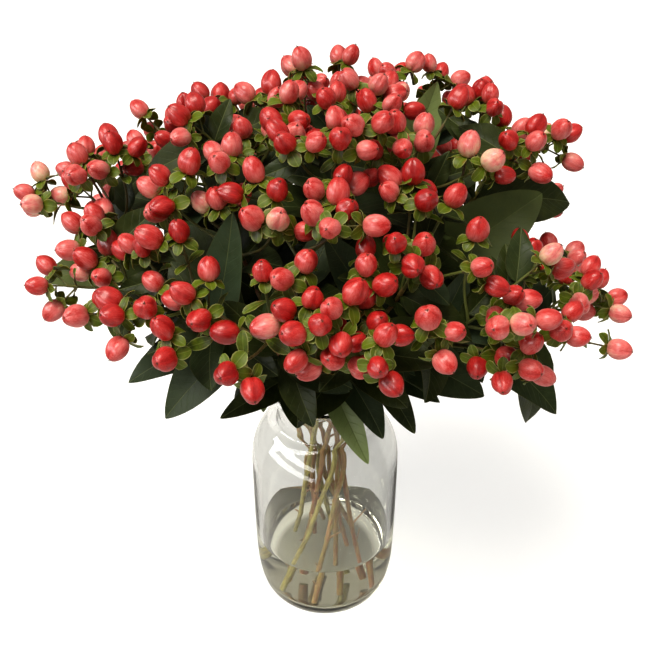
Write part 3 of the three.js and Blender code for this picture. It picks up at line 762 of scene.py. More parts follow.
@functools.lru_cache(maxsize=1)
def grow_bunch():
    """All stems with their leaves, twigs and berries, and the room that they take."""
    room = Room()
    stems = [plan_stem(i, *numbers) for i, numbers in enumerate(MAINS)]
    for *numbers, parent in BRANCHES:
        branch = plan_stem(len(stems), *numbers, parent=stems[parent - 1])
        branch.parent.branch = branch
        stems.append(branch)
    for stem in stems:
        at = np.array([down_stem(stem, s)[0] for s in np.arange(0, stem.arch_length, 5)])
        room.take((at, np.full(len(at), CLEAR.stem), np.full(len(at), WOOD)), stem.number)
    for number, *numbers in SET_LEAVES:
        stem = stems[number - 1]
        leaf = set_leaf(stem, *numbers)
        leaf.shade = LEAF_SHADES.get((number, numbers[0]))
        leaf.rows, leaf.start = room.take(leaf_balls(leaf, LEAF.set_start), stem.number), LEAF.set_start
        stem.leaves.append(leaf)
    for stem in stems:
        grow_spray(stem, room)
    for k in range(2 * len(LEAF.roots)):
        for stem in stems:
            grow_leaf(stem, k, room)
    nodes = stem_nodes(stems)
    for n, place in enumerate(SHOOT_SIGHTS):
        grow_shoot(stems, nodes, place, len(TWIG.lengths) + n, room)
    hard, wood, nets = room.without_leaves(), wood_lines(stems), []
    for stem in stems:
        stem.leaves = [settle_leaf(leaf, nets, hard, wood, room) for leaf in stem.leaves]
    for k in range(2 * len(INNER.falls)):
        for stem in stems:
            grow_inner_leaf(stem, k, room, nets, wood)
    nodes = stem_nodes(stems, True)
    for *sight, back in GAP_SIGHTS:
        look = sight_line(sight)
        place = (VIEWER + look * ((back - VIEWER[1]) / look[1])).round()
        grow_screen_leaf(stems, nodes, place, room, nets, wood)
    return stems, room


# ---- Skins: points and faces of a piece, with the values that its finishes read ------------------------------------


@functools.lru_cache(maxsize=None)
def tube_faces(rings, sides):
    """Faces of a tube whose rings come first, and then the middles of its first and its last end."""
    row, column = np.meshgrid(np.arange(rings - 1), np.arange(sides), indexing="ij")
    following = (column + 1) % sides
    quads = np.stack([row * sides + column, row * sides + following,
                      (row + 1) * sides + following, (row + 1) * sides + column], axis=-1).reshape(-1, 4)
    n = np.arange(sides)
    m = (n + 1) % sides
    first, last = rings * sides, rings * sides + 1
    low = np.stack([m, n, np.full(sides, first)], axis=1)
    high = np.stack([(rings - 1) * sides + n, (rings - 1) * sides + m, np.full(sides, last)], axis=1)
    return quads, np.concatenate([low, high])


@functools.lru_cache(maxsize=None)
def blade_faces(rows, columns):
    """Faces of a thin closed blade: a sheet of rows and a tip point, the same again below it, and the rim."""
    row, column = np.meshgrid(np.arange(rows - 1), np.arange(columns - 1), indexing="ij")
    corner = row * columns + column
    sheet = np.stack([corner, corner + 1, corner + columns + 1, corner + columns], axis=-1).reshape(-1, 4)
    tip, below = rows * columns, rows * columns + 1
    c = np.arange(columns - 1)
    point = np.stack([tip - columns + c, tip - columns + c + 1, np.full(columns - 1, tip)], axis=1)
    loop = [*range(columns), *[r * columns + columns - 1 for r in range(1, rows)], tip,
            *[r * columns for r in range(rows - 1, 0, -1)]]
    a, b = np.array(loop), np.array(loop[1:] + loop[:1])
    rim = np.stack([a, a + below, b + below, b], axis=1)
    return np.concatenate([sheet, sheet[:, ::-1] + below, rim]), np.concatenate([point, point[:, ::-1] + below])


class Skin:
    """Gathers the points and faces of one piece. place is a point's own place on its leaf, berry or stem."""

    def __init__(self):
        self.points, self.place, self.tone = [], [], []
        self.faces, self.picks, self.count = ([], []), ([], []), 0

    def add(self, points, faces, place, tone, finish=0):
        """Adds points and their faces, four-sided and three-sided ones, with the number of their finish."""
        self.points.append(points)
        self.place.append(place)
        self.tone.append(tone)
        for corners, gathered, picks in zip(faces, self.faces, self.picks):
            gathered.append(corners + self.count)
            picks.append(np.full(len(corners), finish))
        self.count += len(points)

    def make(self, name, finishes, sharp=60):
        """Makes the piece, which takes its finishes from the given materials."""
        mesh = bpy.data.meshes.new(name)
        points = np.concatenate(self.points) * MM
        quads, tris = map(np.concatenate, self.faces)
        mesh.from_pydata(points.tolist(), [], quads.tolist() + tris.tolist())
        for title, values in (("place", self.place), ("tone", self.tone)):
            attribute = mesh.attributes.new(title, "FLOAT_VECTOR", "POINT")
            attribute.data.foreach_set("vector", np.concatenate(values).astype(np.float32).ravel())
        for material in finishes:
            mesh.materials.append(material)
        picks = np.concatenate(self.picks[0] + self.picks[1]).astype(np.int32)
        mesh.polygons.foreach_set("material_index", picks)
        mesh.shade_smooth()
        mesh.set_sharp_from_angle(angle=math.radians(sharp))
        mesh.update()
        piece = bpy.data.objects.new(name, mesh)
        bpy.context.scene.collection.objects.link(piece)
        return piece


def stacked(*layers):
    """Layers of values laid together, so that each place has one value of each."""
    return np.stack(np.broadcast_arrays(*layers), axis=-1)


def rounded(points, share, steps):
    """A line with its corners turned into short curves."""
    points = [np.asarray(p, float) for p in points]
    line = [points[0]]
    for before, corner, after in zip(points, points[1:], points[2:]):
        a, b = corner + (before - corner) * share, corner + (after - corner) * share
        for s in range(steps + 1):
            t = s / steps
            line.append(a * (1 - t) ** 2 + corner * 2 * t * (1 - t) + b * t * t)
    return np.array(line + [points[-1]])


def add_tube(skin, line, radii, sides, shade, finish=0, shift=0.0):
    """A closed tube along a line, carrying its section along without twist."""
    line = np.asarray(line, float)
    ahead = np.gradient(line, axis=0)
    ahead /= np.linalg.norm(ahead, axis=1)[:, None]
    radii = np.broadcast_to(np.asarray(radii, float), (len(line),))
    turn, reach = turns(sides), reaches(line)
    side = squared(np.array([0.3, 0.9, 0.1]), ahead[0])
    rings = []
    for point, axis, radius in zip(line, ahead, radii):
        side = squared(side, axis)
        out = np.cos(turn)[:, None] * side + np.sin(turn)[:, None] * cross(axis, side)
        rings.append(point + out * radius)
    points = np.concatenate(rings + [line[:1], line[-1:]])
    place = stacked(np.cos(turn) * radii[:, None], np.sin(turn) * radii[:, None], reach[:, None] + shift)
    place = np.concatenate([place.reshape(-1, 3), [[0, 0, shift], [0, 0, reach[-1] + shift]]])
    share = np.concatenate([(reach / reach[-1]).repeat(sides), [0, 1]])
    skin.add(points, tube_faces(len(line), sides), place, stacked(shade, share, 0.0), finish)


LEAF_ROWS = np.array([0, 0.035, 0.09, 0.16, 0.24, 0.33, 0.42, 0.52, 0.62, 0.71, 0.79, 0.86, 0.92, 0.965, 0.988])
LEAF_COLUMNS = np.array([-1, -0.93, -0.66, -0.34, -0.06, 0.06, 0.34, 0.66, 0.93, 1])
INNER_ROWS = np.array([0, 0.07, 0.2, 0.36, 0.54, 0.72, 0.87, 0.96])
INNER_COLUMNS = np.array([-1, -0.5, 0, 0.5, 1])
SEPAL_ROWS = np.array([0, 0.14, 0.34, 0.55, 0.73, 0.87, 0.96, 0.99])
SEPAL_COLUMNS = np.array([-1, -0.55, 0, 0.55, 1])


def add_blade(skin, leaf, rows, columns, thickness, shade, finish=0, wave=0.0, phase=0.0, crease=0.0, shift=0.0):
    """A thin closed blade. Its edges wave, and its rib is creased into it."""
    across = np.abs(columns)[None]
    t = np.append(rows, 1.0)
    sway = wave * np.sin(phase + t * 9.4)[:, None] * across ** 2 * np.sin(np.pi * t)[:, None]
    sway = sway + wave * 0.6 * np.sin(phase * 1.7 + t * 6.1)[:, None] * columns[None] * across
    dip = -crease * np.exp(-((columns / 0.12) ** 2))[None] * np.sin(np.pi * np.clip(t + 0.08, 0, 1))[:, None]
    body = thickness * 0.5 * (1 - 0.55 * across ** 4)
    half = half_width(leaf, t)[:, None] * columns[None]
    points, places, tones = [], [], []
    for under in (0, 1):
        sheet = blade_points(leaf, t, columns, sway + dip + (-body if under else body))
        place = stacked(half, (t * leaf.length)[:, None], shift)
        tone = stacked(np.full(half.shape, shade), under, across)
        tips = sheet[-1:, len(columns) // 2], [[0, leaf.length, shift]], [[shade, under, 1]]
        for gathered, values, tip in zip((points, places, tones), (sheet, place, tone), tips):
            gathered += [values[:-1].reshape(-1, 3), tip]
    faces = blade_faces(len(rows), len(columns))
    skin.add(np.concatenate(points), faces, np.concatenate(places), np.concatenate(tones), finish)


# ---- Node helpers --------------------------------------------------------------------------------------------------


class Wiring:
    """Adds nodes to a node tree and joins them."""

    def __init__(self, tree):
        self.tree = tree

    def feed(self, socket, value):
        if isinstance(value, bpy.types.NodeSocket):
            self.tree.links.new(value, socket)
        elif hasattr(value, "__len__") and len(value) == 3 and socket.type == "RGBA":
            socket.default_value = (*value, 1)
        else:
            socket.default_value = value

    def put(self, kind, inputs=None, **settings):
        node = self.tree.nodes.new(kind)
        for name, value in settings.items():
            setattr(node, name, value)
        for key, value in (inputs or {}).items():
            self.feed(node.inputs[key], value)
        return node

    def dress(self, shader, **values):
        """Feeds the sockets of a shader, whose names have _ for a space."""
        for name, value in values.items():
            self.feed(shader.inputs[name.replace("_", " ")], value)

    def maths(self, operation, *values, clamp=False):
        return self.put("ShaderNodeMath", dict(enumerate(values)), operation=operation, use_clamp=clamp).outputs[0]

    def plus(self, first, second, clamp=False):
        return self.maths("ADD", first, second, clamp=clamp)

    def minus(self, first, second, clamp=False):
        return self.maths("SUBTRACT", first, second, clamp=clamp)

    def times(self, first, second):
        return self.maths("MULTIPLY", first, second)

    def mix(self, share, first, second):
        sockets = {0: share, 6: first, 7: second}
        return self.put("ShaderNodeMix", sockets, data_type="RGBA").outputs[2]

    def tinted(self, colour, mask, weight, tint):
        """The colour with a tint where the mask is, at the given weight."""
        return self.mix(self.times(mask, weight), colour, tint)

    def remap(self, value, low, high, new_low=0.0, new_high=1.0):
        sockets = {"Value": value, "From Min": low, "From Max": high, "To Min": new_low, "To Max": new_high}
        return self.put("ShaderNodeMapRange", sockets).outputs[0]

    def stretch(self, vector, scale):
        return self.put("ShaderNodeVectorMath", {0: vector, 1: scale}, operation="MULTIPLY").outputs[0]

    def noise(self, vector, scale, detail=2.0, roughness=0.5):
        sockets = {"Vector": vector, "Scale": scale, "Detail": detail, "Roughness": roughness}
        return self.put("ShaderNodeTexNoise", sockets).outputs[0]

    def split(self, vector):
        return self.put("ShaderNodeSeparateXYZ", {0: vector}).outputs

    def value_of(self, name):
        node = self.put("ShaderNodeAttribute", attribute_type="GEOMETRY", attribute_name=name)
        return node.outputs["Vector"]

    def ramp(self, value, stops):
        node = self.put("ShaderNodeValToRGB", {0: value})
        elements = node.color_ramp.elements
        for n, (place, colour) in enumerate(stops):
            stop = elements[n] if n < 2 else elements.new(place)
            stop.position, stop.color = place, (*colour, 1)
        return node.outputs[0]

    def bump(self, height, strength, depth):
        return self.put("ShaderNodeBump", {"Height": height, "Strength": strength, "Distance": depth}).outputs[0]

    def group(self, tree, **inputs):
        node = self.put("ShaderNodeGroup", node_tree=tree)
        for name, value in inputs.items():
            self.feed(node.inputs[name], value)
        return node.outputs


def new_group(name, inputs, outputs):
    """An empty shader node group with named sockets, and the wiring, entry and exit to fill it in with."""
    tree = bpy.data.node_groups.new(name, "ShaderNodeTree")
    for title, kind, default in inputs:
        socket = tree.interface.new_socket(title, in_out="INPUT", socket_type=f"NodeSocket{kind}")
        if default is not None:
            socket.default_value = default
    for title, kind in outputs:
        tree.interface.new_socket(title, in_out="OUTPUT", socket_type=f"NodeSocket{kind}")
    wiring = Wiring(tree)
    return tree, wiring, wiring.put("NodeGroupInput").outputs, wiring.put("NodeGroupOutput").inputs


@functools.lru_cache(maxsize=None)
def plant_mottle():
    """Soft patches between two colours, which a stretch turns into streaks."""
    tree, w, entry, out = new_group(
        "plant_mottle",
        [("Place", "Vector", None), ("Stretch", "Vector", (1, 1, 1)), ("Grain", "Float", 0.3),
         ("Contrast", "Float", 0.3), ("Low", "Color", (0, 0, 0, 1)), ("High", "Color", (1, 1, 1, 1))],
        [("Color", "Color"), ("Mask", "Float")],
    )
    patches = w.noise(w.stretch(entry["Place"], entry["Stretch"]), entry["Grain"], 3.0, 0.6)
    mask = w.remap(patches, w.minus(0.5, entry["Contrast"]), w.plus(0.5, entry["Contrast"]))
    w.feed(out["Color"], w.mix(mask, entry["Low"], entry["High"]))
    w.feed(out["Mask"], mask)
    return tree


@functools.lru_cache(maxsize=None)
def leaf_veins():
    """A leaf's rib and the side veins that curve away from it towards the tip."""
    tree, w, entry, out = new_group(
        "leaf_veins",
        [("Place", "Vector", None), ("Rib", "Float", 0.6), ("Spacing", "Float", 7.0), ("Vein", "Float", 0.3)],
        [("Rib", "Float"), ("Veins", "Float")],
    )
    x, y = w.split(entry["Place"])[:2]
    off = w.maths("ABSOLUTE", x)
    wander = w.times(w.minus(w.noise(entry["Place"], 0.12), 0.5), 5.0)
    slope = w.plus(w.times(off, 0.85), w.times(w.maths("POWER", off, 2.0), 0.035))
    run = w.plus(w.minus(y, slope), wander)
    cell = w.maths("ABSOLUTE", w.minus(w.maths("FRACT", w.maths("DIVIDE", run, entry["Spacing"])), 0.5))
    from_vein = w.times(w.minus(0.5, cell), entry["Spacing"])
    fade = w.remap(off, 4.0, 15.0, 1.0, 0.35)
    veins = w.times(w.remap(from_vein, entry["Vein"], 0.0), fade)
    w.feed(out["Rib"], w.remap(off, entry["Rib"], w.times(entry["Rib"], 0.4)))
    w.feed(out["Veins"], veins)
    return tree


def new_finish(name):
    """A material with its wiring and its Principled shader."""
    material = bpy.data.materials.new(name)
    material.use_nodes = True
    return material, Wiring(material.node_tree), material.node_tree.nodes["Principled BSDF"]


def berry_skin(look):
    """Glossy skin, from coral red to salmon and cream where the berry isn't ripe, with fine lengthwise streaks and
    painted shade in its grooves.
    """
    material, w, shader = new_finish("berry_skin")
    place = w.value_of("place")
    unripe, share, groove = w.split(w.value_of("tone"))
    streaks = w.group(plant_mottle(), Place=place, Stretch=(1, 1, 0.07), Grain=1.5, Contrast=0.22)["Mask"]
    clouds = w.group(plant_mottle(), Place=place, Stretch=(1, 1, 0.6), Grain=0.16, Contrast=0.2)["Mask"]
    paler = w.times(w.minus(1.0, share), w.plus(w.times(unripe, 0.7), 0.06))
    pale = w.plus(w.times(unripe, 0.75), paler)
    pale = w.plus(pale, w.times(w.minus(streaks, 0.5), 0.21))
    pale = w.plus(pale, w.times(w.minus(clouds, 0.5), w.plus(w.times(unripe, 0.45), 0.10)))
    # Painted shade: the grooves are made a deeper red.
    pale = w.minus(pale, w.times(groove, 0.13), clamp=True)
    colour = w.ramp(pale, [
        (0.0, tuple(look.deep)), (1.0, tuple(look.cream)), (0.22, tuple(look.ripe)), (0.58, tuple(look.salmon)),
    ])
    # Painted shade as a darker line along the middle of each groove near the tip.
    groove_shade_line = w.times(w.remap(groove, 0.62, 1.0), w.remap(share, 0.6, 0.97))
    colour = w.tinted(colour, groove_shade_line, 0.4, (0.32, 0.012, 0.010))
    colour = w.tinted(colour, w.remap(share, 0.990, 0.999), 0.75, (0.16, 0.035, 0.02))
    w.dress(shader, Base_Color=colour, Roughness=w.remap(clouds, 0.0, 1.0, 0.30, 0.40),
            Normal=w.bump(streaks, 0.10, 0.0004), Specular_IOR_Level=0.45, Coat_Weight=0.16, Coat_Roughness=0.22,
            Subsurface_Weight=0.1, Subsurface_Scale=0.003, Subsurface_Radius=(1.0, 0.3, 0.2))
    return material


def patchy(name, grain, low, high, roughness, rise, depth):
    """A rough finish with patches of two colours, one of them a little raised."""
    material, w, shader = new_finish(name)
    patches = w.group(plant_mottle(), Place=w.value_of("place"), Grain=grain, Low=low, High=high)
    w.dress(shader, Base_Color=patches["Color"], Normal=w.bump(patches["Mask"], rise, depth), Roughness=roughness)
    return material


def dry_tip():
    """The dark dried remains of the styles."""
    return patchy("dry_tip", 1.5, (0.03, 0.012, 0.006), (0.12, 0.05, 0.02), 0.8, 0.4, 0.0002)


def cut_wood():
    """The pale wood of a cut end."""
    return patchy("cut_wood", 1.2, (0.35, 0.33, 0.16), (0.62, 0.58, 0.36), 0.75, 0.5, 0.0003)


def sepal_green(look):
    """Fresh green of the sepals and bracts, with a pale edge and rib and a flush of red here and there."""
    material, w, shader = new_finish("sepal_green")
    place = w.value_of("place")
    shade, _, edge = w.split(w.value_of("tone"))
    green = w.group(plant_mottle(), Place=place, Grain=0.25, Contrast=0.22, Low=look.sepal_dark, High=look.sepal)
    veins = w.group(leaf_veins(), Place=place, Rib=0.35, Spacing=2.2, Vein=0.28)
    colour = w.mix(w.remap(shade, 0.25, 1.0, 0.0, 0.85), green["Color"], look.sepal)
    flush = w.times(w.remap(w.noise(place, 0.13), 0.58, 0.72), w.remap(edge, 0.35, 0.95))
    colour = w.tinted(colour, flush, 0.5, (0.30, 0.07, 0.03))
    colour = w.tinted(colour, veins["Rib"], 0.3, (0.30, 0.34, 0.08))
    colour = w.tinted(colour, w.remap(edge, 0.80, 0.97), 0.62, (0.42, 0.43, 0.16))
    height = w.plus(w.times(veins["Veins"], 0.5), veins["Rib"])
    w.dress(shader, Base_Color=colour, Roughness=w.remap(green["Mask"], 0.0, 1.0, 0.38, 0.52),
            Normal=w.bump(height, 0.25, 0.0003), Specular_IOR_Level=0.26, Subsurface_Weight=0.08,
            Subsurface_Scale=0.002)
    return material


def leaf_blade(look):
    """Satin dark green leaf with pale rib and fine side veins, and a paler matt underside."""
    material, w, shader = new_finish("leaf_blade")
    place = w.value_of("place")
    shade, under, edge = w.split(w.value_of("tone"))
    green = w.group(plant_mottle(), Place=place, Grain=0.07, Contrast=0.2, Low=look.leaf_dark, High=look.leaf)
    veins = w.group(leaf_veins(), Place=place, Rib=0.42, Spacing=7.5, Vein=0.45)
    freckles = w.group(plant_mottle(), Place=place, Grain=0.9, Contrast=0.25)["Mask"]
    bloom = w.times(w.remap(shade, 0.65, 1.0), w.remap(green["Mask"], 0.0, 1.0, 0.55, 1.0))
    top = w.mix(bloom, green["Color"], look.leaf_bloom)
    top = w.mix(w.remap(shade, 0.12, 0.0), top, look.leaf_young)
    top = w.tinted(top, freckles, 0.10, (0.08, 0.10, 0.03))
    top = w.tinted(top, veins["Veins"], 0.22, (0.10, 0.13, 0.05))
    top = w.tinted(top, veins["Rib"], 0.45, (0.17, 0.20, 0.08))
    below = w.tinted(look.leaf_under, veins["Veins"], 0.25, (0.05, 0.07, 0.02))
    below = w.tinted(below, veins["Rib"], 0.5, (0.20, 0.24, 0.10))
    colour = w.tinted(w.mix(under, top, below), w.remap(edge, 0.955, 1.0), 0.35, (0.13, 0.12, 0.04))
    rough = w.plus(w.remap(green["Mask"], 0.0, 1.0, 0.36, 0.50), w.times(under, 0.2))
    sunk = w.plus(w.times(veins["Veins"], -0.5), w.times(veins["Rib"], -0.8))
    height = w.plus(sunk, w.times(freckles, 0.18))
    w.dress(shader, Base_Color=colour, Roughness=rough, Normal=w.bump(height, 0.45, 0.0006), Specular_IOR_Level=0.16)
    return material


def bark(name, light, dark, flush, grain):
    """Thin bark, streaked lengthwise with olive, brown and red."""
    material, w, shader = new_finish(name)
    place = w.value_of("place")
    shade = w.split(w.value_of("tone"))[0]
    streaks = w.group(plant_mottle(), Place=place, Stretch=(1, 1, 0.12), Grain=grain, Contrast=0.2, Low=dark,
                      High=light)
    patches = w.group(plant_mottle(), Place=place, Stretch=(1, 1, 0.25), Grain=0.22, Contrast=0.14)["Mask"]
    redness = w.plus(w.times(patches, 0.75), w.times(w.minus(shade, 0.62), 0.9), clamp=True)
    colour = w.mix(redness, streaks["Color"], flush)
    flecks = w.remap(w.noise(w.stretch(place, (1, 1, 0.5)), 1.6, 3.0), 0.66, 0.74)
    colour = w.tinted(colour, flecks, 0.55, (0.05, 0.022, 0.012))
    w.dress(shader, Base_Color=colour, Roughness=w.remap(patches, 0.0, 1.0, 0.45, 0.65),
            Normal=w.bump(streaks["Mask"], 0.5, 0.0005))
    return material


def clear_finish(name, tint, ior, ripple, grain):
    """Glass or water: clear, a little uneven, and letting the lamps' light straight through."""
    material, w, shader = new_finish(name)
    place = w.put("ShaderNodeNewGeometry").outputs["Position"]
    waves = w.noise(w.stretch(place, (1, 1, 0.6)), grain, 1.0, 0.4)
    w.dress(shader, Base_Color=tint, Normal=w.bump(waves, ripple, 0.002), Roughness=0.0, IOR=ior,
            Transmission_Weight=1.0, Metallic=0.0)
    clear = w.put("ShaderNodeBsdfTransparent", {"Color": tuple(c ** 0.5 for c in tint)}).outputs[0]
    light_path = w.put("ShaderNodeLightPath").outputs
    mixed = w.put("ShaderNodeMixShader", {0: light_path["Is Shadow Ray"], 1: shader.outputs[0], 2: clear})
    w.feed(w.tree.nodes["Material Output"].inputs["Surface"], mixed.outputs[0])
    return material


def pale_floor(look):
    """The plain pale floor, with a painted shadow where the vase stands on it: its colour turns dark olive and its
    glow dims there.
    """
    material, w, shader = new_finish("pale_floor")
    place = w.put("ShaderNodeNewGeometry").outputs["Position"]
    tone = w.group(plant_mottle(), Place=place, Grain=3.0, Contrast=0.3, Low=look.floor,
                   High=[min(c * 1.01, 1) for c in look.floor])
    from_middle = w.put("ShaderNodeVectorMath", {0: place}, operation="LENGTH").outputs["Value"]
    # Painted shadow: this factor falls from 1 on the open floor to the under-vase share inside the vase's foot.
    light = w.remap(from_middle, (VASE.foot_radius - 1) * MM, (VASE.foot_radius + 6) * MM, look.painted_shadow_under_vase, 1.0)
    path = w.put("ShaderNodeLightPath").outputs
    seen = w.plus(path["Is Camera Ray"], w.times(path["Is Transmission Ray"], 0.45))
    # The painted shadow darkens the floor's colour towards dark olive and dims its glow.
    w.dress(shader, Base_Color=w.mix(light, (0.06, 0.055, 0.02), tone["Color"]), Roughness=0.85,
            Normal=w.bump(w.noise(place, 40.0), 0.02, 0.0002), Emission_Color=(1, 1, 1),
            Emission_Strength=w.times(w.times(seen, look.glow), light))
    return material


# ---- Settings that a user may change -------------------------------------------------------------------------------


def colour_setting(name, description, default):
    return FloatVectorProperty(name=name, description=description, subtype="COLOR", size=3, min=0, max=1,
                               default=default)


def length_setting(name, description, default, low, high):
    return FloatProperty(name=name, description=description, unit="LENGTH", default=default, min=low, max=high)


def light_setting(name, description, default, **more):
    return FloatProperty(name=name, description=description, default=default, min=0, **more)


class VaseSettings(bpy.types.PropertyGroup):
    glass_tint: colour_setting("Glass tint", "Colour that light takes on in the glass", (0.968, 0.975, 0.968))
    water_tint: colour_setting("Water tint", "Colour that light takes on in the water", (0.80, 0.785, 0.68))
    water_level: length_setting("Water level", "Height of the water above the table", WATER_BOX[1].z, 0.02, 0.14)
    segments: IntProperty(name="Segments", description="Sides of the turned glass", default=96, min=24, max=256)


class StemSettings(bpy.types.PropertyGroup):
    radius: length_setting("Stem radius", "Radius of a stem at its foot", STEM.radius * MM, 0.001, 0.004)
    bark_light: colour_setting("Light bark", "Olive of the bark", (0.40, 0.36, 0.10))
    bark_dark: colour_setting("Dark bark", "Darker streaks of the bark", (0.15, 0.115, 0.030))
    bark_red: colour_setting("Red bark", "Red brown of older bark", (0.26, 0.100, 0.045))
    twig_light: colour_setting("Light twig", "Green of the young twigs", (0.16, 0.19, 0.040))
    twig_dark: colour_setting("Dark twig", "Darker streaks of the twigs", (0.08, 0.090, 0.020))
    twig_red: colour_setting("Red twig", "Red brown of the twigs", (0.13, 0.075, 0.03))


class LeafSettings(bpy.types.PropertyGroup):
    thickness: length_setting("Leaf thickness", "Thickness of a leaf", 0.0006, 0.0003, 0.001)
    leaf: colour_setting("Leaf", "Lighter green of a leaf's face", (0.041, 0.052, 0.011))
    leaf_dark: colour_setting("Dark leaf", "Darker green of a leaf's face", (0.016, 0.025, 0.006))
    leaf_bloom: colour_setting("Leaf bloom", "Grey blue green of some leaves", (0.050, 0.078, 0.043))
    leaf_young: colour_setting("Young leaf", "Light green of the youngest leaves", (0.28, 0.36, 0.14))
    leaf_under: colour_setting("Leaf underside", "Paler green of a leaf's underside", (0.07, 0.09, 0.030))
    sepal: colour_setting("Sepal", "Light green of the sepals", (0.120, 0.165, 0.010))
    sepal_dark: colour_setting("Dark sepal", "Darker green of the sepals", (0.040, 0.058, 0.004))


class BerrySettings(bpy.types.PropertyGroup):
    radius: length_setting("Berry radius", "Radius of a berry of middle size", 0.0069, 0.004, 0.009)
    deep: colour_setting("Deep red", "Colour of the ripest berries", (0.34, 0.007, 0.008))
    ripe: colour_setting("Coral red", "Colour of most berries", (0.56, 0.031, 0.028))
    salmon: colour_setting("Salmon", "Colour of berries that are half ripe", (0.80, 0.222, 0.210))
    cream: colour_setting("Cream", "Colour of unripe skin", (0.88, 0.66, 0.46))


class StageSettings(bpy.types.PropertyGroup):
    floor: colour_setting("Floor", "Colour of the floor", (0.55, 0.55, 0.545))
    glow: light_setting("Floor glow", "Light added to the floor where it is seen", 0.5)
    # Strength of the shadow painted on the floor under the vase.
    painted_shadow_under_vase: light_setting("Under the vase", "Share of the light that the floor gets there", 0.25, max=1)
    sky: light_setting("Sky", "Strength of the light from straight above", 0.55)
    sun: light_setting("Soft sun", "Strength of the wide soft light from above", 2.9)
    window: light_setting("Window light", "Power of the long lamp at the left", 16.0, unit="POWER")
    camera_height: length_setting("Camera height", "Height of the camera", VIEWER[2] * MM, 0.1, 5)
    camera_back: length_setting("Camera distance", "How far it is in front of the vase", -VIEWER[1] * MM, 0.1, 5)
    camera_tilt: FloatProperty(name="Camera tilt", description="Angle at which the camera looks down",
                               subtype="ANGLE", default=VIEW.tilt)
    lens: FloatProperty(name="Lens", description="Focal length in millimetres", default=49.46, min=10)


# ---- The vase and its water ----------------------------------------------------------------------------------------


def cavity(gap):
    """Half section of the room inside the vase, from the axis to the straight wall's end, drawn inwards by a gap."""
    inner = VASE.body_radius - VASE.wall
    return [
        (0, VASE.base + gap), (VASE.foot_radius - 3 - gap, VASE.base + gap),
        (inner - 3.5 - gap, VASE.foot_round * 0.8 + gap), (inner - 1.5 - gap, VASE.foot_round * 1.6 + gap),
        (inner - gap, VASE.shoulder),
    ]


def vase_section():
    """Half section of the whole vase, up its outside and down its inside, before its corners are cut."""

    def across(share):
        return VASE.neck_radius + share * (VASE.body_radius - VASE.neck_radius)

    def up(share):
        return VASE.shoulder + share * (VASE.neck_foot - VASE.shoulder)

    outside = [
        (0, 0), (VASE.foot_radius, 0), (VASE.foot_radius + 10, VASE.foot_round * 0.2),
        (VASE.body_radius - 2, VASE.foot_round), (VASE.body_radius, VASE.foot_round * 2.2),
        (VASE.body_radius, VASE.shoulder), (across(0.93), up(0.35)), (across(0.7), up(0.66)),
        (across(0.3), up(0.90)), (across(0.08), up(0.97)), (VASE.neck_radius - 0.6, VASE.neck_foot + 2.5),
        (VASE.neck_radius, VASE.height - 14), (VASE.rim_radius - 1, VASE.height - 7),
        (VASE.rim_radius, VASE.height - 3.5), (VASE.rim_radius - 0.8, VASE.height),
    ]
    inside = [
        *cavity(0), (across(0.93) - VASE.wall, up(0.30)), (across(0.68) - VASE.wall, up(0.55)),
        (across(0.26) - VASE.wall, up(0.76)), (VASE.neck_radius - VASE.wall - 0.6, VASE.neck_foot - 2),
        (VASE.neck_radius - VASE.wall - 1.6, VASE.neck_foot + 7),
        (VASE.neck_radius - VASE.wall - 0.4, VASE.height - 9),
        (VASE.rim_radius - VASE.wall - 1.5, VASE.height - 0.5),
    ]
    return outside + inside[::-1]


def smoothed(section):
    """Cuts the corners of an open line twice, which turns it into a curve."""
    line = np.array(section, float)
    for _ in range(2):
        a, b = line[:-1] * 0.75 + line[1:] * 0.25, line[:-1] * 0.25 + line[1:] * 0.75
        line = np.concatenate([line[:1], np.stack([a, b], axis=1).reshape(-1, 2)[1:-1], line[-1:]])
    return line


def turned(skin, section, sides):
    """Turns a half section, whose ends lie on the axis, round the upright axis."""
    ring, turn = section[1:-1], turns(sides)
    points = stacked(ring[:, :1] * np.cos(turn), ring[:, :1] * np.sin(turn), ring[:, 1:]).reshape(-1, 3)
    points = np.concatenate([points, [[0, 0, section[0][1]], [0, 0, section[-1][1]]]])
    skin.add(points, tube_faces(len(ring), sides), points, np.zeros_like(points))


def hand_over(piece, node):
    """Hangs a finished piece on the body that it rides on, and hides the solid that it stands for."""
    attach(piece, "root")
    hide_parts(node)


class BuildVase(bpy.types.Operator):
    """Build the glass vase"""

    bl_idname = "hypericum.build_vase"
    bl_label = "Build the vase"

    def execute(self, context):
        look = context.scene.hypericum_vase
        skin = Skin()
        turned(skin, smoothed(vase_section()), look.segments)
        vase = skin.make("vase_clear", [clear_finish("vase_glass", look.glass_tint, 1.47, 0.12, 9.0)])
        hand_over(vase, "vase")
        return {"FINISHED"}


class PourWater(bpy.types.Operator):
    """Fill the vase with water up to its level, with the rim of water that climbs the glass"""

    bl_idname = "hypericum.pour_water"
    bl_label = "Pour the water"

    def execute(self, context):
        look = context.scene.hypericum_vase
        level = look.water_level / MM
        foot = VASE.foot_round * 1.6
        shore = VASE.body_radius - VASE.wall - 1.5 * (1 - (level - foot) / (VASE.shoulder - foot))
        wall = smoothed([*cavity(-0.2)[:-1], (shore + 0.2, level + 1.4)])
        rim = [(shore - 0.5, level + 0.6), (shore - 1.4, level + 0.15), (shore - 3.2, level), (0, level)]
        skin = Skin()
        turned(skin, np.concatenate([wall, rim]), look.segments)
        water = skin.make("water_clear", [clear_finish("still_water", look.water_tint, 1.333, 0.02, 30.0)])
        hand_over(water, "water")
        return {"FINISHED"}


# ---- Stems and leaves ----------------------------------------------------------------------------------------------

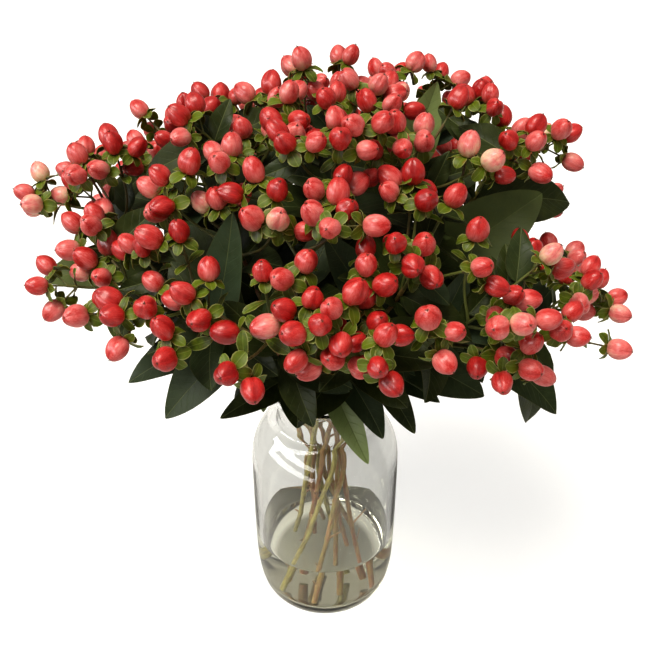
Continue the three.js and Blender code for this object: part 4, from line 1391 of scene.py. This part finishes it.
# Where leaves grew on the part of a stem that stands in the vase, and how a stem swells there.
NODES = SimpleNamespace(first=26, apart=36, scatter=9, number=5, swelling=0.24, length=2.2,
                        rings=(-3, -1.2, 0, 1.2, 3))
# The short twigs that some of these places still carry.
SPUR = SimpleNamespace(share=0.55, lean=0.6, length=5, longer=16, radii=np.linspace(1.0, 0.6, 4), clear=8)
STEM_SIDES = 10


def stem_course(stem):
    """The line of a stem from its cut end in the water, or of a branch from its fork, up to the foot of its spray."""
    curve = arch_point(stem, np.linspace(0, 1, 30))
    if stem.parent:
        return curve
    rise = np.linspace(0, 1, 19)[:-1, None]
    return np.concatenate([stem.foot + (stem.arch[0] - stem.foot) * rise, curve])


def along_line(line, reach, places):
    """Points at the given distances along a line, whose points have the distances in reach."""
    return np.stack([np.interp(places, reach, line[:, axis]) for axis in range(3)], axis=-1)


class GrowStems(bpy.types.Operator):
    """Grow the stems from their cut ends in the water, with their branches, up to their sprays"""

    bl_idname = "hypericum.grow_stems"
    bl_label = "Grow the stems"

    def execute(self, context):
        look = context.scene.hypericum_stem
        stem_bark = bark("stem_bark", look.bark_light, look.bark_dark, look.bark_red, 0.9)
        wood = cut_wood()
        for stem in grow_bunch()[0]:
            if stem.parent:
                continue
            skin = Skin()
            self.add_stem(skin, stem, look.radius / MM, [1.0, 0.92, 0.72])
            self.add_stem(skin, stem.branch, BRANCH.radius, [1.0, 0.95, 0.85])
            ahead = unit(stem.arch[0] - stem.foot)
            ends = [stem.foot - ahead * 0.15, stem.foot + ahead * 0.4]
            add_tube(skin, ends, look.radius / MM * 0.97, STEM_SIDES, 0.5, 1)
            name = f"{stem.number + 1:02d}"
            hand_over(skin.make(f"stalk_{name}", [stem_bark, wood], 50), f"stem_{name}")
        return {"FINISHED"}

    def add_stem(self, skin, stem, radius, taper):
        """A stem that swells where leaves grow or grew, with a few short twigs left on it in the vase."""
        i, line = stem.number, stem_course(stem)
        reach = reaches(line)
        bare = [NODES.first + NODES.apart * n + spread(i, 500 + n, NODES.scatter) for n in range(NODES.number)]
        bare = [] if stem.parent else bare
        nodes = np.array([reach[-1] - fall for fall in LEAF.roots] + bare)
        places = np.unique(np.concatenate([reach, *[nodes + step for step in NODES.rings]]).clip(0, reach[-1]))
        places = places[np.concatenate([[True], np.diff(places) > 0.3])]
        swelling = 1 + NODES.swelling * np.exp(-(((places[:, None] - nodes) / NODES.length) ** 2)).sum(axis=1)
        radii = radius * np.interp(places / reach[-1], [0, 0.5, 1], taper) * swelling
        add_tube(skin, along_line(line, reach, places), radii, STEM_SIDES, chance(i, 520), shift=i * 13.0)
        for n, place in enumerate(bare):
            if chance(i, 530 + n) > SPUR.share:
                ahead = unit(line[1] - line[0])
                lean = SPUR.lean + 0.5 * chance(i, 550 + n)
                way = leaning(ahead, squared(EAST, ahead), chance(i, 540 + n) * 6.3, lean)
                length = SPUR.length + SPUR.longer * chance(i, 560 + n)
                spur = along_line(line, reach, place) + way * np.linspace(0.3, length, 4)[:, None]
                if np.hypot(spur[-1][0], spur[-1][1]) < VASE.foot_radius - SPUR.clear:
                    add_tube(skin, spur, SPUR.radii, 6, 0.9, shift=n * 31.0)


class GrowLeaves(bpy.types.Operator):
    """Grow the leaves of every stem"""

    bl_idname = "hypericum.grow_leaves"
    bl_label = "Grow the leaves"

    def execute(self, context):
        look = context.scene.hypericum_leaf
        blade = leaf_blade(look)
        for stem in grow_bunch()[0]:
            if stem.parent:
                continue
            skin, name = Skin(), f"{stem.number + 1:02d}"
            for grown in (stem, stem.branch):
                j = grown.number
                for n, leaf in enumerate(grown.leaves):
                    shade = 0.14 + 0.86 * chance(j, 600 + n) if leaf.shade is None else leaf.shade
                    wave = 0.9 + 0.9 * chance(j, 620 + n)
                    rows, columns = (INNER_ROWS, INNER_COLUMNS) if leaf.is_inner else (LEAF_ROWS, LEAF_COLUMNS)
                    leaf.outline = full_width
                    add_blade(skin, leaf, rows, columns, look.thickness / MM, shade, wave=wave,
                              phase=chance(j, 640 + n) * 6.3, crease=0.5, shift=37.0 * n + 11.0 * j)
            hand_over(skin.make(f"leaves_{name}", [blade]), f"stem_{name}")
        return {"FINISHED"}


# ---- Twigs, sepals and berries -------------------------------------------------------------------------------------

SEPAL = SimpleNamespace(angle=80, wider=24, length=9.2, longer=3.2, slim=0.66, wider_share=0.16, thickness=0.45)
BRACT = SimpleNamespace(angle=60, wider=25, length=13, longer=9, slim=0.42, below=7.5, ball=1.6)


def sepal_width(t):
    """Half the width of a sepal along its length: broad, with a blunt tip."""
    return np.sin(np.pi * np.power(t, 1.25)) ** 0.6


def add_sepals(skin, berry):
    """Five sepals of unequal size, spread below the berry and bent away from it."""
    i, k = berry.key
    axis = berry.direction
    side = squared(UP if abs(axis[2]) < 0.9 else EAST, axis)
    for n in range(5):
        turn = berry.roll + n * 2 * math.pi / 5 + spread(i, k + 1000 + n, 0.22)
        way = leaning(axis, side, turn, math.radians(SEPAL.angle + SEPAL.wider * chance(i, k + 1100 + n)))
        length = berry.size * (SEPAL.length + SEPAL.longer * chance(i, k + 1200 + n))
        width = length * (SEPAL.slim + SEPAL.wider_share * chance(i, k + 1600 + n))
        sepal = make_leaf(berry_point(berry, -0.1) + way * 0.7, way, squared(axis, way), length, width,
                          0.4 + 0.8 * chance(i, k + 1300 + n), least=0.9, outline=sepal_width)
        shade, phase = 0.25 + 0.75 * chance(i, k + 1400 + n), chance(i, k + 1500 + n) * 6.3
        add_blade(skin, sepal, SEPAL_ROWS, SEPAL_COLUMNS, SEPAL.thickness, shade, 1, wave=0.35, phase=phase,
                  shift=19.0 * n + k)


def add_bracts(skin, twig, i, room):
    """A pair of small leaves where a twig forks."""
    for n in range(2):
        key = 10 * twig.number + n
        turn = n * math.pi + spread(i, 1700 + key, 0.5)
        way = leaning(twig.last, twig.plane, turn, math.radians(BRACT.angle + BRACT.wider * chance(i, 1720 + key)))
        length = BRACT.length + BRACT.longer * chance(i, 1740 + key)
        root = twig.points[2] - twig.last * BRACT.below
        bract = make_leaf(root + way * 0.6, way, squared(twig.last, way), length, length * BRACT.slim, 0.5,
                          least=0.8, outline=sepal_width)
        at = blade_points(bract, np.array([0.5, 0.75, 1.0]), [0])[:, 0]
        balls = at, np.full(len(at), BRACT.ball), np.full(len(at), BLADE)
        if room.is_clear(balls, -1):
            room.take(balls, i)
            add_blade(skin, bract, SEPAL_ROWS, SEPAL_COLUMNS, SEPAL.thickness, 0.5 * chance(i, 1760 + key), 1,
                      wave=0.4, phase=key, shift=23.0 * key)


BERRY_SIDES = 30
BERRY_RINGS = 13


def add_berry(skin, berry, radius, unripe):
    """An egg-shaped berry with three shallow grooves, and the three dry styles at its tip."""
    i, k = berry.key
    axis = berry.direction
    side = squared(UP if abs(axis[2]) < 0.9 else EAST, axis)
    over = cross(axis, side)
    polar = np.linspace(0, math.pi, BERRY_RINGS + 2)[1:-1]
    share = 0.5 - 0.5 * np.cos(polar)
    length = BERRY.length * berry.size * (1 + spread(i, k + 2100, 0.05))
    bulge = np.sin(polar) ** 0.88 * (1 + 0.07 * np.cos(polar)) * radius * berry.size
    turn = turns(BERRY_SIDES)
    from_groove = np.abs((turn + np.pi / 3) % (2 * np.pi / 3) - np.pi / 3)
    groove = (1 - np.sin(1.5 * from_groove)) ** 1.4
    strength = chance(i, k + 2000)
    depth = 0.035 + 0.11 * strength + (0.12 + 0.13 * strength) * np.abs(2 * share - 1) ** 1.5
    oval = 1 + 0.05 * spread(i, k + 2200, 1) * np.cos(2 * turn)
    ring = bulge[:, None] * (1 - depth[:, None] * groove[None]) * oval[None]
    height = length * (share + 0.02 * np.clip((share - 0.93) / 0.07, 0, 1) - 0.02)
    base = berry_point(berry, 0)
    spin = turn + berry.roll
    out = np.cos(spin)[:, None] * side + np.sin(spin)[:, None] * over
    bent = side * math.cos(berry.roll) * spread(i, k + 2300, 0.5)
    middle = base + axis * height[:, None] + bent * (np.sin(np.pi * share))[:, None]
    points = middle[:, None] + out[None] * ring[..., None]
    ends = np.array([base + axis * 0.25, base + axis * (height[-1] + 0.12)])
    points = np.concatenate([points.reshape(-1, 3), ends])
    place = stacked(ring * np.cos(turn), ring * np.sin(turn), height[:, None]).reshape(-1, 3)
    place = np.concatenate([place, [[0, 0, 0], [0, 0, length]]]) + [0, 0, 41.0 * chance(i, k + 2400) * 10]
    tone = stacked(unripe, share[:, None], groove).reshape(-1, 3)
    tone = np.concatenate([tone, [[unripe, 0, 0], [unripe, 1, 0]]])
    skin.add(points, tube_faces(BERRY_RINGS, BERRY_SIDES), place, tone)
    tip = base + axis * (height[-1] - 0.1)
    for n in range(3):
        lean = leaning(axis, side, berry.roll + (n + 0.5) * 2 * math.pi / 3, 0.5 + 0.5 * chance(i, k + 2500 + n))
        reach = 0.9 + 1.1 * chance(i, k + 2600 + n)
        add_tube(skin, tip + lean * np.array([0.0, 0.55, 1.0])[:, None] * reach, [0.26, 0.2, 0.1], 4, 0.5, 1)


# What makes a berry pale: its own chance, that of its stem, and how far out to either side it grows.
UNRIPE = SimpleNamespace(least=0.04, berry=0.38, stem=0.14, left=0.30, right=0.17, edge=110, width=90, cream=0.35,
                         not_cream=0.95)


def unripeness(berry):
    """How far from ripe a berry is: those at the far left are palest, and a few anywhere are cream."""
    i, k = berry.key
    left, right = (np.clip((side * berry.start[0] - UNRIPE.edge) / UNRIPE.width, 0, 1) for side in (-1, 1))
    pale = UNRIPE.least + UNRIPE.berry * chance(i, k + 3000) + UNRIPE.stem * chance(i, 3100)
    pale = pale + UNRIPE.left * left + UNRIPE.right * right
    if chance(i, k + 3200) > UNRIPE.not_cream:
        pale += UNRIPE.cream
    return float(pale)


class GrowBerries(bpy.types.Operator):
    """Grow the sprays of every stem: their twigs, sepals and berries"""

    bl_idname = "hypericum.grow_berries"
    bl_label = "Grow the berries"

    def execute(self, context):
        stem_look, leaf_look = context.scene.hypericum_stem, context.scene.hypericum_leaf
        look = context.scene.hypericum_berry
        twig_bark = bark("twig_bark", stem_look.twig_light, stem_look.twig_dark, stem_look.twig_red, 1.2)
        green, skin_finish, dry = sepal_green(leaf_look), berry_skin(look), dry_tip()
        stems, room = grow_bunch()
        for stem in stems:
            i = stem.number
            wood, fruit = Skin(), Skin()
            if stem.stalk is not None:
                add_tube(wood, [stem.top - stem.axis * 2, stem.stalk], [1.3, 1.0], 8, 0.4)
            for twig in stem.twigs:
                self.add_twig(wood, stem, twig)
                add_bracts(wood, twig, i, room)
                for berry in twig.berries:
                    self.add_pedicel(wood, berry)
                    add_sepals(wood, berry)
                    add_berry(fruit, berry, look.radius / MM, unripeness(berry))
            name = f"{i + 1:02d}"
            for title, skin, finishes, slot in (
                ("twigs", wood, [twig_bark, green], "foliage"), ("berries", fruit, [skin_finish, dry], "berries"),
            ):
                hand_over(skin.make(f"{title}_{name}", finishes, 55), f"spray_{name}")
        return {"FINISHED"}

    def add_twig(self, skin, stem, twig):
        base, bend, end = twig.points
        line = rounded([base - stem.axis * 1.5 if not twig.number else base, bend, end], 0.4, 5)
        radii = np.interp(np.linspace(0, 1, len(line)), [0, 0.15, 0.9, 1], [1.25, 1.05, 0.85, 1.0])
        add_tube(skin, line, radii, 8, chance(stem.number, 1800 + twig.number), shift=twig.number * 17.0)

    def add_pedicel(self, skin, berry):
        share = np.array([0, 0.12, 0.5, 0.85, 0.95, 1.0, 1.06])
        radii = np.array([0.85, 0.65, 0.6, 0.7, 1.1, 1.5, 0.9])
        line = berry.start + berry.direction * (share * berry.pedicel)[:, None]
        add_tube(skin, line, radii * (0.5 + 0.5 * berry.size), 8, chance(*berry.key) * 0.8, shift=berry.key[1])


# ---- The stage -----------------------------------------------------------------------------------------------------


FLOOR = SimpleNamespace(half=6.0, below=0.0004)
SUN = SimpleNamespace(place=(-0.36, -0.30, 1.0), width=math.radians(34), colour=(1.0, 0.96, 0.87))
WINDOW = SimpleNamespace(place=(-0.98, -0.55, 0.79), aim=(0, 0, 0.15), size=(2.2, 0.26))


def aimed(place, aim):
    """Rotation of a lamp at place that shines at aim."""
    away = unit(np.array(place, float) - np.array(aim, float))
    return (math.acos(away[2]), 0, math.atan2(away[1], away[0]) + math.pi / 2)


def soft_sky(look):
    """A sky that is brightest above and dim low down, which the camera sees as a pale backdrop."""
    world = bpy.data.worlds.new("soft_sky")
    world.use_nodes = True
    w = Wiring(world.node_tree)
    seen = w.put("ShaderNodeLightPath").outputs["Is Camera Ray"]
    sky = world.node_tree.nodes["Background"]
    height = w.split(w.put("ShaderNodeTexCoord").outputs["Generated"])[2]
    strength = w.times(w.remap(height, -0.05, 0.9, 0.18, 1.0), look.sky)
    w.feed(sky.inputs["Strength"], w.maths("MAXIMUM", strength, w.times(seen, 0.95)))
    w.feed(sky.inputs["Color"], w.mix(seen, (1.0, 0.95, 0.86, 1.0), (0.98, 0.98, 0.98, 1.0)))
    return world


class SetStage(bpy.types.Operator):
    """Set up the floor, the lamps, the sky and the camera"""

    bl_idname = "hypericum.set_stage"
    bl_label = "Set the stage"

    def execute(self, context):
        look, scene = context.scene.hypericum_stage, context.scene
        mesh, half = bpy.data.meshes.new("floor"), FLOOR.half
        mesh.from_pydata([(-half, -half, 0), (half, -half, 0), (half, half, 0), (-half, half, 0)], [], [(0, 1, 2, 3)])
        mesh.materials.append(pale_floor(look))
        floor = bpy.data.objects.new("floor", mesh)
        floor.location.z = -FLOOR.below
        scene.collection.objects.link(floor)
        sun = bpy.data.objects.new("soft_sun", bpy.data.lights.new("soft_sun", "SUN"))
        sun.data.energy, sun.data.angle, sun.data.color = look.sun, SUN.width, SUN.colour
        sun.rotation_euler = aimed(SUN.place, (0, 0, 0))
        scene.collection.objects.link(sun)
        window = bpy.data.lights.new("window_lamp", "AREA")
        window.shape, window.energy = "RECTANGLE", look.window
        window.size, window.size_y = WINDOW.size
        lamp = bpy.data.objects.new("window_lamp", window)
        lamp.location, lamp.rotation_euler = WINDOW.place, aimed(WINDOW.place, WINDOW.aim)
        lamp.visible_diffuse = False
        scene.collection.objects.link(lamp)
        scene.world = soft_sky(look)
        scene.view_settings.view_transform = "Standard"
        scene.view_settings.look = "Medium High Contrast"
        camera = bpy.data.cameras.new("camera")
        camera.lens, camera.sensor_width = look.lens, 36.0
        camera.clip_start, camera.clip_end = 0.01, 50
        holder = bpy.data.objects.new("camera", camera)
        holder.location = (0, -look.camera_back, look.camera_height)
        holder.rotation_euler = (math.pi / 2 - look.camera_tilt, 0, 0)
        scene.collection.objects.link(holder)
        scene.camera = holder
        return {"FINISHED"}


# ---- The add-on ----------------------------------------------------------------------------------------------------

OPERATORS = (BuildVase, PourWater, GrowStems, GrowLeaves, GrowBerries, SetStage)
SETTINGS = {
    "hypericum_vase": VaseSettings, "hypericum_stem": StemSettings, "hypericum_leaf": LeafSettings,
    "hypericum_berry": BerrySettings, "hypericum_stage": StageSettings,
}


class HypericumPanel(bpy.types.Panel):
    bl_idname = "VIEW3D_PT_hypericum"
    bl_label = "Hypericum"
    bl_space_type = "VIEW_3D"
    bl_region_type = "UI"
    bl_category = "Hypericum"

    def draw(self, context):
        for operator in OPERATORS:
            self.layout.operator(operator.bl_idname)
        for title, group in SETTINGS.items():
            box = self.layout.box()
            for name in group.__annotations__:
                box.prop(getattr(context.scene, title), name)


def register():
    for group in (*SETTINGS.values(), *OPERATORS, HypericumPanel):
        bpy.utils.register_class(group)
    for title, group in SETTINGS.items():
        setattr(bpy.types.Scene, title, PointerProperty(type=group))


def unregister():
    for title in SETTINGS:
        delattr(bpy.types.Scene, title)
    for group in reversed((*SETTINGS.values(), *OPERATORS, HypericumPanel)):
        bpy.utils.unregister_class(group)


def main():
    register()
    bpy.ops.hypericum.build_vase()
    bpy.ops.hypericum.pour_water()
    bpy.ops.hypericum.grow_stems()
    bpy.ops.hypericum.grow_leaves()
    bpy.ops.hypericum.grow_berries()
    bpy.ops.hypericum.set_stage()


if __name__ == "__main__":
    main()
